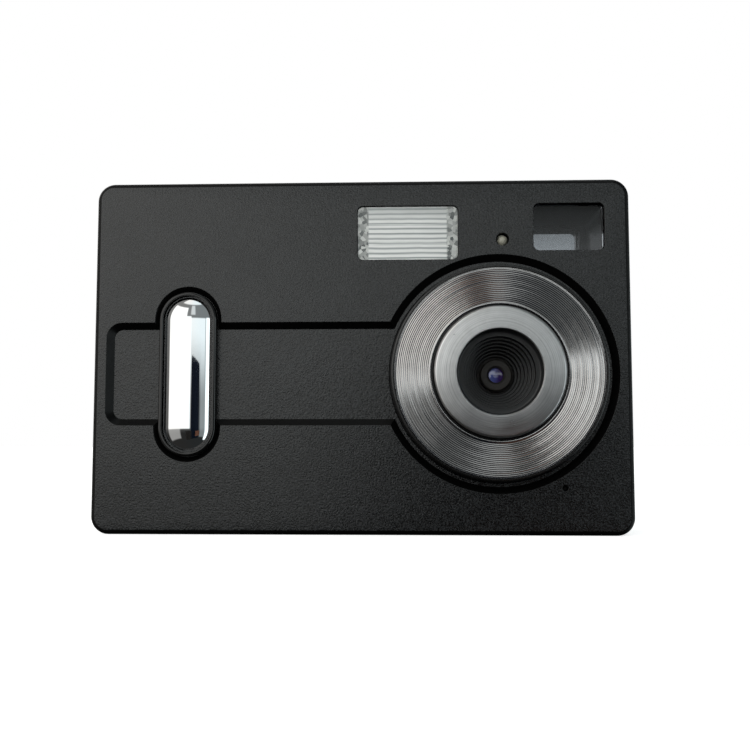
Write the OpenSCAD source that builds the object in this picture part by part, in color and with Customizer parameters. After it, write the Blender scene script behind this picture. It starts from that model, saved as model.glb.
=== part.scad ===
// Compact digital camera, built as its separate pieces.
// X runs to the right seen from the front, Y runs from the front to the back, Z is up.
// The origin is the centre of the tripod socket's mouth, in the base.
// Sizes are in millimetres.

/* [Body] */
// Width of the case
body_w = 91; // [80:1:115]
// Height of the case
body_h = 60; // [58:1:75]
// Depth of the case, without the lens drum
body_t = 21; // [20.5:0.5:26]
// Radius of the case's four corners, seen from the front
corner_r = 3; // [2.4:0.1:4]
// Rounding of the front face's edge
front_edge_r = 0.9; // [0.4:0.1:1.5]
// Rounding of the rear face's edge
rear_edge_r = 1.8; // [0.5:0.1:2.2]
// Thickness of the side, top, bottom and rear walls
wall = 1.6; // [1.4:0.1:2.2]
// Thickness of the front wall
front_wall = 2.4; // [2:0.1:3]
// Depth of the front cover, from the front face to the seam
front_cover_depth = 3.9; // [3.6:0.1:4.4]
// Width of the groove between the two covers
seam_gap = 0.25; // [0.1:0.05:0.4]
// Length of the rear cover's tongue, inside the front cover
tongue_l = 1.1; // [0.8:0.1:1.2]

/* [Fits] */
// Gap round a fixed piece that sits in an opening
fit_gap = 0.1; // [0.05:0.01:0.15]
// Gap round a button that slides in an opening
key_gap = 0.25; // [0.15:0.05:0.4]
// Radial gap between a turning pin and its bore
pin_gap = 0.05; // [0.02:0.01:0.09]

/* [Front relief] */
// Depth of the recess in the front face
recess_depth = 1.1; // [0.8:0.1:1.3]
// Height of the recessed band
band_h = 17.5; // [15:0.5:20]
// Distance from the case's side to the recessed band
band_inset = 2.2; // [2:0.1:4]
// Corner radius of the recessed band
band_r = 2.6; // [2:0.1:4]
// Distance from the case's side to the grip bar's centre line
grip_from_left = 16.2; // [14:0.1:18]
// Width of the recess round the grip bar
grip_recess_w = 11.4; // [11:0.1:13]
// Height of the recess round the grip bar
grip_recess_h = 29.8; // [28:0.1:32]
// Width of the bright grip bar
grip_bar_w = 8.3; // [7:0.1:8.6]
// Height of the bright grip bar
grip_bar_h = 26.5; // [24:0.1:27]
// Width of the dark frame round the grip bar
grip_frame_w = 0.65; // [0.5:0.05:1]
// How far the grip bar stands out of the front face
grip_bar_rise = 1.5; // [1:0.1:2.5]

/* [Lens drum] */
// Distance from the case's right side to the lens axis
lens_from_right = 22.25; // [21:0.25:26]
// Distance from the case's top to the lens axis
lens_from_top = 33; // [27:0.5:36]
// Outer radius of the lens drum
drum_r = 18.35; // [15:0.05:18.8]
// Width of the recess round the lens drum, at the front face
lens_recess_gap = 1.8; // [1.4:0.1:2.2]
// How far the lens drum stands out of the front face
drum_rise = 1.8; // [1:0.1:3]
// Width of the drum's rim round the turned trim disc
drum_rim = 0.75; // [0.7:0.05:1.3]
// Width of the gap between the inner ring and the turned trim disc
ring_gap = 0.25; // [0.1:0.05:0.4]
// Thickness of the turned trim disc
disc_t = 0.45; // [0.3:0.05:0.6]
// Distance between two grooves of the trim disc
groove_pitch = 0.5; // [0.4:0.05:0.8]
// Depth of a groove of the trim disc
groove_depth = 0.07; // [0.04:0.01:0.12]
// Outer radius of the inner ring at its foot
ring_r = 11.1; // [9.6:0.1:12]
// How much narrower the inner ring is at its front
ring_taper = 0.3; // [0.1:0.1:1]
// Radius of the inner ring's hole
ring_hole_r = 7.15; // [6.6:0.05:7.6]
// How far the inner ring stands out of the trim disc
ring_rise = 1.15; // [0.8:0.05:1.6]
// Radius of the aperture in front of the glass
aperture_r = 1.27; // [1:0.01:1.6]
// Radius of the threaded lens barrel
barrel_r = 6; // [5:0.25:6.5]
// Number of light-trapping steps in the baffle
baffle_steps = 6; // [4:1:8]

/* [Windows] */
// Width of the flash window
flash_w = 17; // [15:0.5:18]
// Height of the flash window
flash_h = 9.1; // [8:0.1:10]
// Distance from the lens axis to the flash window's centre line
flash_from_lens = 15.2; // [14:0.1:18]
// Distance from the case's top to the flash window's centre
flash_from_top = 9.05; // [8.8:0.05:10]
// How deep the flash window's face lies under the front face
flash_sink = 0.4; // [0.2:0.1:1]
// Diameter of the flash tube
flash_tube_d = 2.2; // [1.8:0.1:2.6]
// Width of the viewfinder's front opening
finder_w = 12; // [10:0.5:13]
// Height of the viewfinder's front opening
finder_h = 8.1; // [7:0.1:8.6]
// Distance from the case's right side to the viewfinder's axis
finder_from_right = 10.2; // [10:0.1:12]
// Distance from the case's top to the viewfinder's axis
finder_from_top = 8.2; // [7.6:0.1:9]
// How deep the viewfinder's front pane lies under the front face
finder_sink = 1.1; // [0.8:0.1:1.4]
// Width of the eyepiece opening
eyepiece_w = 9; // [8:0.5:10]
// Height of the eyepiece opening
eyepiece_h = 6.6; // [6:0.1:7]
// Radius of the window corners
window_r = 1; // [0.5:0.1:1.5]
// Diameter of the self-timer lamp
lamp_d = 2; // [1.8:0.1:3]
// How deep the self-timer lamp's tip lies under the front face
lamp_sink = 0.4; // [0:0.1:1.2]
// Radius of the microphone hole
mic_hole_r = 0.55; // [0.4:0.05:0.8]

/* [Screen] */
// Width of the screen's clear window
screen_w = 40; // [36:0.5:42]
// Height of the screen's clear window
screen_h = 31; // [28:0.5:34]
// Thickness of the screen's clear window
screen_t = 0.95; // [0.8:0.05:1.1]
// Width of the visible picture
picture_w = 30.5; // [28:0.5:32]
// Height of the visible picture
picture_h = 23; // [20:0.5:24]
// Distance from the case's right side to the screen's centre
screen_from_right = 30; // [29:0.5:32]
// Thickness of the display module
display_t = 2.3; // [2:0.1:2.4]

/* [Keys] */
// Radius of the centre key
ok_key_r = 3.2; // [2.8:0.1:3.4]
// Outer radius of the four direction keys
nav_key_r = 8.5; // [8:0.1:9]
// How far the keys stand out of the rear face
key_rise = 0.4; // [0.2:0.1:0.8]
// Radius of the menu and playback keys
small_key_r = 2.6; // [2:0.1:3]
// Length of the zoom rocker
rocker_w = 15; // [13:0.5:16]
// Height of the zoom rocker
rocker_h = 5; // [4:0.1:5.5]
// Diameter of the shutter button
shutter_d = 10; // [8:0.5:11]
// How far the shutter button stands out of the top
shutter_rise = 1.3; // [0.8:0.1:1.6]
// Diameter of the power button
power_d = 5.4; // [4:0.1:6]
// How far the power button stands out of the top
power_rise = 0.5; // [0.2:0.1:0.8]

/* [Batteries] */
// Diameter of a battery
battery_d = 10.5; // [10:0.1:10.6]
// Length of a battery, with its contact button
battery_l = 44.5; // [42:0.5:45]
// Wall of the battery holder
holder_wall = 0.6; // [0.5:0.1:0.8]
// Radius of the battery door's hinge barrel
door_barrel_r = 1.7; // [1.5:0.1:2]
// Thickness of the battery door
door_t = 1.4; // [1.2:0.1:1.6]
// Diameter of the battery door's hinge pin
door_pin_d = 1.2; // [1:0.1:1.5]
// Travel of the battery door's lock
lock_travel = 1.4; // [1:0.1:1.5]

/* [Sockets] */
// Radius of the tripod socket, at the crest of its thread
tripod_r = 2.6; // [2.5:0.05:3.2]
// Outer radius of the tripod socket's brass insert
tripod_insert_r = 4; // [3.6:0.1:4.2]
// Height of the tripod socket's brass insert
tripod_l = 6; // [5:0.1:6.2]
// Width of a memory card
card_w = 24; // [15:0.5:24]
// Thickness of a memory card
card_t = 2.1; // [1:0.1:2.1]
// Diameter of the strap bar
strap_bar_d = 1.6; // [1.2:0.1:2]
// Shank diameter of the case screws
screw_d = 1.6; // [1.4:0.1:2]

/* [Hidden] */
$fn = 64;
eps = 0.01;

// The case's outer faces and the faces of its hollow
x_left = -body_w / 2;
x_right = body_w / 2;
y_front = -body_t / 2;
y_back = body_t / 2;
in_left = x_left + wall;
in_right = x_right - wall;
in_front = y_front + front_wall;
in_back = y_back - wall;
in_top = body_h - wall;
seam_y = y_front + front_cover_depth;

// The lens axis; the drum's profiles use the distance in front of the middle plane
lens_x = x_right - lens_from_right;
lens_z = body_h - lens_from_top;
face_f = -y_front;
drum_f = face_f + drum_rise;
plate_t = 0.8;
plate_f = drum_f - disc_t;
ring_f = drum_f + ring_rise;
ring_front_r = ring_r - ring_taper;
disc_r = drum_r - drum_rim;
disc_hole_r = ring_r + ring_gap;
lens_recess_r = drum_r + lens_recess_gap;
baffle_r = ring_hole_r + 0.95;
baffle_back_f = 4.4;
nose_f = 5.6;
nose_r = 2.9;
barrel_back_f = 0.4;

// Windows: the flange behind the wall, and the gap between two stacked pieces
pane_flange = 0.9;
pane_flange_t = 0.8;
part_gap = 0.05;
reflector_y = in_front + pane_flange_t + part_gap;

grip_x = x_left + grip_from_left;
grip_frame_outer_w = grip_bar_w + 2 * (grip_frame_w + fit_gap);
grip_frame_outer_h = grip_bar_h + 2 * (grip_frame_w + fit_gap);
finder_x = x_right - finder_from_right;
finder_z = body_h - finder_from_top;
flash_x = lens_x - flash_from_lens;
flash_z = body_h - flash_from_top;
lamp_x = lens_x + 0.85;
lamp_z = lens_z + 22.7;
mic_x = lens_x + 10.75;
mic_z = lens_z - 19.15;
status_x = finder_x - 10;
status_r = 0.75;
tube_y = reflector_y + 2.9;
capacitor_d = 7;

// The main board, with the sensor in front of it and the sockets and the display behind it
board_t = 1;
card_shell = 0.6;
screen_x = x_right - screen_from_right;
screen_z = lens_z;
display_y = in_back - fit_gap - display_t;
socket_y = display_y - 0.15 - card_shell - card_t;
board_back = socket_y - part_gap;
board_y = board_back - board_t;
display_w = picture_w + 5;
display_h = picture_h + 5.5;
cable_t = 0.15;
usb_tongue_t = 0.8;
usb_tongue_w = 4.8;

// The battery holder stands in the grip end of the case
holder_gap = 0.25;
battery_gap = 0.2;
holder_in_w = 2 * battery_d + battery_gap + 2 * holder_gap;
holder_in_t = battery_d + 2 * holder_gap;
holder_w = holder_in_w + 2 * holder_wall;
holder_t = holder_in_t + 2 * holder_wall;
key_board_t = 0.8;
key_board_y = in_back - 2.5;
// The bay stands clear of the case's corner, so the door's lock has a wall to bolt into.
bay_inset = corner_r - 0.85;
holder_x = in_left + bay_inset + holder_w / 2;
holder_y = key_board_y - 0.1 - holder_t / 2;
battery_pitch = battery_d + battery_gap;
battery_z = door_t + 1.3;
holder_z = 2 * door_barrel_r + 0.2;
holder_top = battery_z + battery_l + 3;
door_pin_x = holder_x + holder_in_w / 2 + door_barrel_r + 0.2;
door_w = battery_d + 0.6;
door_left = in_left + bay_inset + 0.45;
door_pin_reach = 1.3;
pin_end_gap = 0.1;
lock_x = door_left + 5;
lock_half_w = 1.5;
lock_half_l = 2;
lock_bolt_half_w = 2;
lock_bolt_l = 3;
board_left = holder_x + holder_w / 2 + 0.6;
board_low = tripod_l + 1.3;
board_high = flash_z - flash_h / 2 - 1.2;

// Keys
key_x = (in_left + screen_x - screen_w / 2) / 2;
nav_z = lens_z - 5;
small_key_z = lens_z + 12.5;
small_key_dx = 8.8;
rocker_z = body_h - 10.5;
key_back_y = in_back - 1;
key_flange_t = 0.8;
key_flange = 0.9;
nav_gap = 0.7;
nav_mid_r = (ok_key_r + nav_gap + nav_key_r) / 2;
rocker_pivot_y = key_back_y + 0.3;
rocker_pin_r = 0.5;
shutter_x = x_left + 11.5;
power_x = x_left + 22.6;
top_key_y = 0.5;
top_board_z = in_top - 5.4;
top_board_t = 0.8;
switch_w = 4.4;
switch_t = 1.4;
switch_stem = 0.35;
stem_gap = 0.9;
// The flash capacitor lies between the battery holder, the power button and the flash
capacitor_x0 = max(power_x + power_d / 2 + 2, holder_x + holder_w / 2 + 0.65);
capacitor_x1 = flash_x - flash_w / 2 - 1.5;

// Sockets in the right side
card_z = lens_z - 3.5;
usb_z = card_z + card_w / 2 + 6.6;
usb_w = 7.9;
usb_t = 3.9;
usb_cover_t = 1.1;
usb_hinge_y = board_y;

// The strap bar stands in a pocket of the left side
strap_y = 1;
strap_z = body_h - 6;
strap_in_x = x_left + 3.8;
strap_bar_x = x_left + 1.2;
strap_pocket_h = 5.2;
strap_pocket_t = 6;

// The case screws go through the rear cover into lugs of the front cover
screw_r = screw_d / 2;
screw_y = -3;
lug_t = 4;
screw_xs = [door_pin_x + 5.6, lens_x - 11, x_right - 7.5];
side_screw_z = lens_z - 16;
lug_w = 5;
side_lug_t = 2;
screw_head_r = 1.5;
screw_head_t = 0.7;
screw_sink = 0.8;
screw_head_gap = 0.15;
screw_shank_gap = 0.2;

// ---- shapes that repeat ----

// A flat shape drawn in X and Z, given its depth from y0 to y1.
module slab(y0, y1) {
    translate([0, y1, 0]) rotate([90, 0, 0]) linear_extrude(y1 - y0) children();
}

// A rectangle with round corners, centred.
module round_rect(w, h, r) {
    square([w - 2 * r, h], center = true);
    square([w, h - 2 * r], center = true);
    for (x = [-1, 1], z = [-1, 1])
        translate([x * (w / 2 - r), z * (h / 2 - r)]) circle(r);
}

// An upright bar with round ends, centred.
module stadium(w, h) {
    square([w, h - w], center = true);
    for (z = [-1, 1]) translate([0, z * (h - w) / 2]) circle(d = w);
}

// A solid of revolution about the lens axis: X is the radius, Y the distance to the front.
module turned() {
    translate([lens_x, 0, lens_z]) rotate([90, 0, 0]) rotate_extrude() children();
}

// A block on the XY plane with round corners and one rounded rim, at the top.
module rimmed_block(w, h, t, r, e) {
    for (x = [-1, 1], y = [-1, 1])
        translate([x * (w / 2 - r), y * (h / 2 - r), 0]) rotate_extrude() {
            square([r, t - e]);
            square([r - e, t]);
            translate([r - e, t - e]) circle_quarter(e);
        }
    translate([0, h / 2 - r, 0]) rotate([90, 0, 0]) linear_extrude(h - 2 * r) rim_profile(w, t, e);
    translate([-w / 2 + r, 0, 0]) rotate([90, 0, 90]) linear_extrude(w - 2 * r) rim_profile(h, t, e);
}

module circle_quarter(r) {
    intersection() {
        circle(r);
        square(r);
    }
}

module rim_profile(w, t, e) {
    translate([-w / 2, 0]) square([w, t - e]);
    translate([-w / 2 + e, 0]) square([w - 2 * e, t]);
    for (s = [-1, 1]) translate([s * (w / 2 - e), t - e]) circle(e);
}

// A recess with round corners and sloping walls, cut from the plane Z = 0 down to -d.
module dish(w, h, r, d) {
    for (x = [-1, 1], y = [-1, 1])
        translate([x * (w / 2 - r), y * (h / 2 - r), -d]) cylinder(r1 = r - d, r2 = r, h = d);
    if (w > 2 * r)
        translate([-w / 2 + r, 0, 0]) rotate([90, 0, 90]) linear_extrude(w - 2 * r) dish_profile(h, d);
    translate([0, h / 2 - r, 0]) rotate([90, 0, 0]) linear_extrude(h - 2 * r) dish_profile(w, d);
}

module dish_profile(w, d) {
    polygon([[-w / 2, 0], [-w / 2 + d, -d], [w / 2 - d, -d], [w / 2, 0]]);
}

// A pin along Y, from y0 to y1.
module pin_y(x, z, r, y0, y1) {
    translate([x, y1, z]) rotate([90, 0, 0]) cylinder(r = r, h = y1 - y0);
}

// A pin along X, from x0 to x1.
module pin_x(y, z, r, x0, x1) {
    translate([x0, y, z]) rotate([0, 90, 0]) cylinder(r = r, h = x1 - x0);
}

// A box between two corners.
module block(low, high) {
    translate(low) cube(high - low);
}

// ---- the case ----

// The hollow of the case, from y0 to y1; grow widens it into the wall.
module hollow(y0, y1, grow = 0) {
    slab(y0, y1) translate([0, body_h / 2])
        round_rect(body_w - 2 * wall + 2 * grow, body_h - 2 * wall + 2 * grow, corner_r - wall + grow);
}

module front_recess() {
    translate([0, y_front, 0]) rotate([90, 0, 0]) {
        band_w = lens_x - x_left - band_inset;
        translate([x_left + band_inset + band_w / 2, lens_z, 0])
            dish(band_w, band_h, band_r, recess_depth);
        translate([grip_x, lens_z, 0])
            dish(grip_recess_w, grip_recess_h, grip_recess_w / 2, recess_depth);
        translate([lens_x, lens_z, -recess_depth])
            cylinder(r1 = lens_recess_r - recess_depth, r2 = lens_recess_r, h = recess_depth);
    }
    slab(y_front - 1, y_front + recess_depth) translate([grip_x, lens_z])
        stadium(grip_frame_outer_w + 2 * fit_gap, grip_frame_outer_h + 2 * fit_gap);
}

module front_cover() {
    color("#2b2c2d") {
        difference() {
            translate([0, seam_y - seam_gap, body_h / 2]) rotate([90, 0, 0])
                rimmed_block(body_w, body_h, front_cover_depth - seam_gap, corner_r, front_edge_r);
            hollow(in_front, seam_y);
            // the rebate for the rear cover's tongue
            hollow(seam_y - tongue_l - fit_gap, seam_y, wall / 2);
            front_recess();
            pin_y(lens_x, lens_z, drum_r + fit_gap, y_front - 1, in_front + 1);
            slab(y_front - 1, in_front + 1) {
                translate([flash_x, flash_z])
                    round_rect(flash_w + 2 * fit_gap, flash_h + 2 * fit_gap, window_r);
                translate([finder_x, finder_z]) round_rect(finder_w, finder_h, window_r);
            }
            pin_y(lamp_x, lamp_z, lamp_d / 2 + fit_gap, y_front - 1, in_front + 1);
            pin_y(mic_x, mic_z, mic_hole_r, y_front - 1, in_front + 1);
            grip_posts(fit_gap, y_front, in_front + 1);
        }
        screw_lugs();
    }
}

// Blocks behind the front wall, which the case screws bite into.
module screw_lugs() {
    lug_z = wall + fit_gap;
    for (x = screw_xs)
        difference() {
            block([x - lug_w / 2, in_front - eps, lug_z],
                  [x + lug_w / 2, screw_y + lug_w / 2, lug_z + lug_t]);
            translate([x, screw_y, 0]) cylinder(r = screw_r + pin_gap, h = 2 * lug_t + wall);
        }
    difference() {
        block([in_right - fit_gap - side_lug_t, in_front - eps, side_screw_z - lug_w / 2],
              [in_right - fit_gap, screw_y + lug_w / 2, side_screw_z + lug_w / 2]);
        pin_x(screw_y, side_screw_z, screw_r + pin_gap, in_right - 2 * lug_t, x_right);
    }
}

// Both end posts of the grip bar, which pass through the front wall.
module grip_posts(grow, y0, y1) {
    post_r = 1.2;
    for (s = [-1, 1])
        pin_y(grip_x, lens_z + s * (grip_bar_h - grip_bar_w) / 2, post_r + grow, y0, y1);
}

// The opening for the battery door in the bottom wall.
module door_opening() {
    gap = 0.15;
    half_y = door_w / 2 + gap;
    block([door_left - gap, holder_y - half_y, -1], [door_pin_x, holder_y + half_y, wall + 1]);
    pin_y(door_pin_x, door_barrel_r, door_barrel_r + gap, holder_y - half_y, holder_y + half_y);
    block([door_pin_x - 1, holder_y - half_y, -1],
          [door_pin_x + door_barrel_r + gap, holder_y + half_y, door_barrel_r]);
}

module rear_cover() {
    color("#27282a") {
        difference() {
            union() {
                translate([0, seam_y, body_h / 2]) rotate([-90, 0, 0])
                    rimmed_block(body_w, body_h, body_t - front_cover_depth, corner_r, rear_edge_r);
                // the tongue
                hollow(seam_y - tongue_l, seam_y + eps, wall / 2 - fit_gap);
            }
            difference() {
                hollow(seam_y - tongue_l - 1, in_back);
                rear_cover_insides();
            }
            rear_cover_cuts();
        }
    }
}

// What stands inside the rear cover: the tripod boss, the hinge bosses and the strap pocket's walls.
module rear_cover_insides() {
    translate([0, 0, wall - eps]) cylinder(r = tripod_insert_r + 0.9, h = tripod_l - wall + 0.8);
    for (s = [-1, 1])
        block([door_pin_x - door_barrel_r, holder_y + s * (door_w / 2 + 0.85) - 0.7, wall - eps],
              [door_pin_x + door_barrel_r, holder_y + s * (door_w / 2 + 0.85) + 0.7, 2 * door_barrel_r]);
    pocket_wall = 0.8;
    block([in_left - eps, strap_y - strap_pocket_t / 2 - pocket_wall,
           strap_z - strap_pocket_h / 2 - pocket_wall],
          [strap_in_x + pocket_wall, strap_y + strap_pocket_t / 2 + pocket_wall,
           strap_z + strap_pocket_h / 2 + pocket_wall]);
    for (s = [-1, 1])
        block([key_x - 1.2, key_back_y - 0.5, rocker_z + s * (rocker_h / 2 + 1) - 0.6],
              [key_x + 1.2, in_back + eps, rocker_z + s * (rocker_h / 2 + 1) + 0.6]);
}

module rear_cover_cuts() {
    // display window and the opening behind it
    slab(y_back - screen_t - 0.05, y_back + 1)
        translate([screen_x, screen_z]) round_rect(screen_w + 2 * fit_gap, screen_h + 2 * fit_gap, 1.5);
    slab(in_back - 1, y_back + 1)
        translate([screen_x, screen_z]) square([picture_w + 3, picture_h + 3], center = true);
    slab(in_back - 1, y_back + 1)
        translate([finder_x, finder_z]) round_rect(eyepiece_w, eyepiece_h, window_r);
    pin_y(status_x, finder_z, status_r + fit_gap, in_back - 1, y_back + 1);
    // keys
    pin_y(key_x, nav_z, nav_key_r + key_gap, in_back - 1, y_back + 1);
    for (s = [-1, 1])
        pin_y(key_x + s * small_key_dx, small_key_z, small_key_r + key_gap, in_back - 1, y_back + 1);
    slab(in_back - 1, y_back + 1) translate([key_x, rocker_z]) rotate(90)
        stadium(rocker_h + 2 * key_gap, rocker_w + 2 * key_gap);
    translate([key_x, rocker_pivot_y, rocker_z - rocker_h / 2 - 1.7])
        cylinder(r = rocker_pin_r + pin_gap, h = rocker_h + 3.4);
    translate([shutter_x, top_key_y, in_top - 1]) cylinder(d = shutter_d + 2 * key_gap, h = wall + 2);
    translate([power_x, top_key_y, in_top - 1]) cylinder(d = power_d + 2 * key_gap, h = wall + 2);
    // battery door, its pin and the keeper of its lock
    door_opening();
    pin_y(door_pin_x, door_barrel_r, door_pin_d / 2,
          holder_y - door_w / 2 - door_pin_reach - pin_end_gap,
          holder_y + door_w / 2 + door_pin_reach + pin_end_gap);
    block([door_left - lock_travel - 0.4, holder_y - lock_bolt_half_w - 0.2, 0.45],
          [door_left, holder_y + lock_bolt_half_w + 0.2, wall + 0.4]);
    // tripod socket
    translate([0, 0, -1]) cylinder(r = tripod_insert_r, h = tripod_l + 1);
    // case screws, with sunk heads
    for (x = screw_xs) translate([x, screw_y, -1]) {
        cylinder(r = screw_r + screw_shank_gap, h = wall + 2);
        cylinder(r = screw_head_r + screw_head_gap, h = 1 + screw_sink);
    }
    pin_x(screw_y, side_screw_z, screw_r + screw_shank_gap, in_right - 1, x_right + 1);
    pin_x(screw_y, side_screw_z, screw_head_r + screw_head_gap, x_right - screw_sink, x_right + 1);
    // strap pocket and the ends of its bar
    block([x_left - 1, strap_y - strap_pocket_t / 2, strap_z - strap_pocket_h / 2],
          [strap_in_x, strap_y + strap_pocket_t / 2, strap_z + strap_pocket_h / 2]);
    translate([strap_bar_x, strap_y, strap_z - 3.2]) cylinder(d = strap_bar_d, h = 6.4);
    // memory card slot, USB opening and the pocket of its cover
    block([in_right - 1, socket_y + 0.15, card_z - card_w / 2 - 0.3],
          [x_right + 1, socket_y + card_t + 0.45, card_z + card_w / 2 + 0.3]);
    block([in_right - 1, socket_y - fit_gap, usb_z - usb_w / 2 - fit_gap],
          [x_right + 1, socket_y + usb_t + fit_gap, usb_z + usb_w / 2 + fit_gap]);
    block([x_right - usb_cover_t - fit_gap, usb_hinge_y - 0.7, usb_z - usb_w / 2 - 1.1],
          [x_right + 1, socket_y + usb_t + 0.9, usb_z + usb_w / 2 + 1.1]);
}

module case_screws() {
    color("#8c8e92") {
        for (x = screw_xs) translate([x, screw_y, 0]) screw();
        translate([x_right, screw_y, side_screw_z]) rotate([0, -90, 0]) screw();
    }
}

// A pan-head screw that points up, with a cross recess, its head sunk under Z = 0.
module screw() {
    translate([0, 0, screw_sink - screw_head_t]) difference() {
        cylinder(r = screw_head_r, h = screw_head_t);
        for (a = [0, 90]) rotate(a) cube([1.7, 0.35, 0.7], center = true);
    }
    translate([0, 0, screw_sink - eps]) cylinder(r = screw_r, h = wall + 1.1);
}

// ---- grip ----

module grip_frame() {
    frame_rise = 0.4;
    seat = y_front + recess_depth;
    color("#0a0a0b") difference() {
        translate([grip_x, seat, lens_z]) rotate([90, 0, 0])
            stadium_plate(grip_frame_outer_w, grip_frame_outer_h, recess_depth + frame_rise, 0.35);
        slab(y_front - 2, seat - 0.5) translate([grip_x, lens_z])
            stadium(grip_bar_w + 2 * fit_gap, grip_bar_h + 2 * fit_gap);
        grip_posts(fit_gap, y_front, in_front);
    }
}

// An upright bar with round ends and a bevelled rim, on the XY plane.
module stadium_plate(w, h, t, bevel) {
    for (s = [-1, 1]) translate([0, s * (h - w) / 2, 0]) {
        cylinder(d = w, h = t - bevel);
        translate([0, 0, t - bevel - eps / 10]) cylinder(d1 = w, d2 = w - 2 * bevel, h = bevel);
    }
    translate([0, (h - w) / 2, 0]) rotate([90, 0, 0]) linear_extrude(h - w)
        polygon([[-w / 2, 0], [w / 2, 0], [w / 2, t - bevel], [w / 2 - bevel, t],
                 [bevel - w / 2, t], [-w / 2, t - bevel]]);
}

// A pillow on a flat foot: both ends are turned and the stretch between them is straight.
module grip_bar() {
    foot_y = y_front + recess_depth - 0.5;
    straight = grip_bar_h - grip_bar_w;
    color("#e8e8ea") {
        translate([grip_x, foot_y, lens_z]) rotate([90, 0, 0]) {
            for (s = [-1, 1]) translate([0, s * straight / 2, 0]) rotate_extrude() intersection() {
                grip_section();
                square(grip_bar_w);
            }
            translate([0, straight / 2, 0]) rotate([90, 0, 0]) linear_extrude(straight) grip_section();
        }
        grip_posts(0, foot_y - eps, in_front + 0.6);
    }
}

// The grip bar's section: an arc that ends at the bar's width, on a short upright foot.
module grip_section() {
    edge = 0.3;
    dome = grip_bar_rise + recess_depth - 0.5 - edge;
    dome_r = (pow(grip_bar_w / 2, 2) + pow(dome, 2)) / (2 * dome);
    translate([-grip_bar_w / 2, 0]) square([grip_bar_w, edge]);
    intersection() {
        translate([0, edge + dome - dome_r]) circle(dome_r, $fn = 360);
        translate([-grip_bar_w / 2, edge - eps]) square([grip_bar_w, dome + 1]);
    }
}

// ---- lens ----

module lens_drum() {
    flange_t = 0.9;
    flange_r = drum_r + 0.6;
    shell_r = drum_r - 1.4;
    lip = 0.35;
    back_f = -in_front - flange_t;
    color("#0b0b0c") turned() polygon([
        [shell_r, back_f], [flange_r, back_f], [flange_r, -in_front - part_gap],
        [drum_r, -in_front - part_gap], [drum_r, face_f - recess_depth + 0.2], [disc_r + lip, drum_f],
        [disc_r + fit_gap / 2, drum_f], [disc_r + fit_gap / 2, plate_f], [baffle_r + fit_gap, plate_f],
        [baffle_r + fit_gap, plate_f - plate_t], [shell_r, plate_f - plate_t]
    ]);
}

module trim_disc() {
    rim = 0.3;
    n = floor((disc_r - disc_hole_r - 2 * rim) / groove_pitch);
    inner = disc_hole_r + rim;
    color("#b9bbbe") turned() polygon(concat(
        [[disc_hole_r, plate_f], [disc_r, plate_f], [disc_r, drum_f]],
        [for (i = [n : -1 : 0], side = [0, 1])
            if (i > 0 || side == 0)
                [inner + (i - side / 2) * groove_pitch, drum_f - side * groove_depth]],
        [[disc_hole_r, drum_f]]
    ));
}

module lens_ring() {
    color("#d3d4d6") turned() polygon([
        [ring_hole_r + 0.95, plate_f], [ring_r, plate_f], [ring_r, drum_f + 0.1],
        [ring_front_r, ring_f], [ring_hole_r + 0.1, ring_f], [ring_hole_r, ring_f - 0.1],
        [ring_hole_r, ring_f - 0.5], [ring_hole_r + 0.95, ring_f - 0.5]
    ]);
}

// The radius of the baffle's light path at a distance in front of the middle plane.
function cone_r(f) = nose_r + 0.3 + (ring_hole_r - 0.6 - nose_r - 0.3) * (f - baffle_back_f)
    / (ring_f - 2 - baffle_back_f);

module lens_baffle() {
    front_f = ring_f - 0.5;
    well_f = ring_f - 2;
    step = (well_f - baffle_back_f) / baffle_steps;
    color("#17181a") turned() polygon(concat(
        [[cone_r(baffle_back_f), baffle_back_f - 0.6]],
        [for (i = [0 : baffle_steps - 1], side = [0, 1])
            [cone_r(baffle_back_f + i * step) + side * 0.08, baffle_back_f + (i + side * 0.7) * step]],
        [[ring_hole_r - 0.6, well_f], [ring_hole_r - 0.15, well_f + 0.3], [ring_hole_r, front_f]],
        [[baffle_r, front_f], [baffle_r, plate_f - plate_t - 0.05],
         [baffle_r + 1.4, plate_f - plate_t - 0.05],
         [baffle_r + 1.4, plate_f - plate_t - 0.8], [baffle_r, plate_f - plate_t - 0.8],
         [nose_r + 1.6, baffle_back_f - 0.1], [nose_r + 1.6, baffle_back_f - 0.6]]
    ));
}

module lens_barrel() {
    color("#1c1a19") turned() polygon([
        [1.9, barrel_back_f], [barrel_r, barrel_back_f], [barrel_r, baffle_back_f - 0.8],
        [nose_r - 0.1, baffle_back_f - 0.8], [nose_r - 0.1, nose_f - 0.25], [nose_r - 0.35, nose_f],
        [aperture_r + 0.35, nose_f], [aperture_r, nose_f - 0.4], [aperture_r, nose_f - 0.6],
        [2, nose_f - 0.6], [2, nose_f - 1.9], [1.5, nose_f - 2], [1.5, barrel_back_f + 1.5],
        [2.6, barrel_back_f + 1.4], [2.6, barrel_back_f + 0.3], [1.9, barrel_back_f + 0.2]
    ]);
}

// A lens between two planes, with bulging faces.
module glass_element(r, f0, f1, bulge) {
    color([0.6, 0.55, 0.9, 0.5]) turned() intersection() {
        translate([0, f0]) square([r, f1 - f0]);
        ball_r = (r * r + bulge * bulge) / (2 * bulge);
        translate([0, f1 - ball_r]) circle(ball_r, $fn = 360);
        translate([0, f0 + ball_r]) circle(ball_r, $fn = 360);
    }
}

module front_lens() {
    glass_element(1.95, nose_f - 1.85, nose_f - 0.62, 0.3);
}

module rear_lens() {
    glass_element(2.55, barrel_back_f + 0.32, barrel_back_f + 1.38, 0.25);
}

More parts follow.
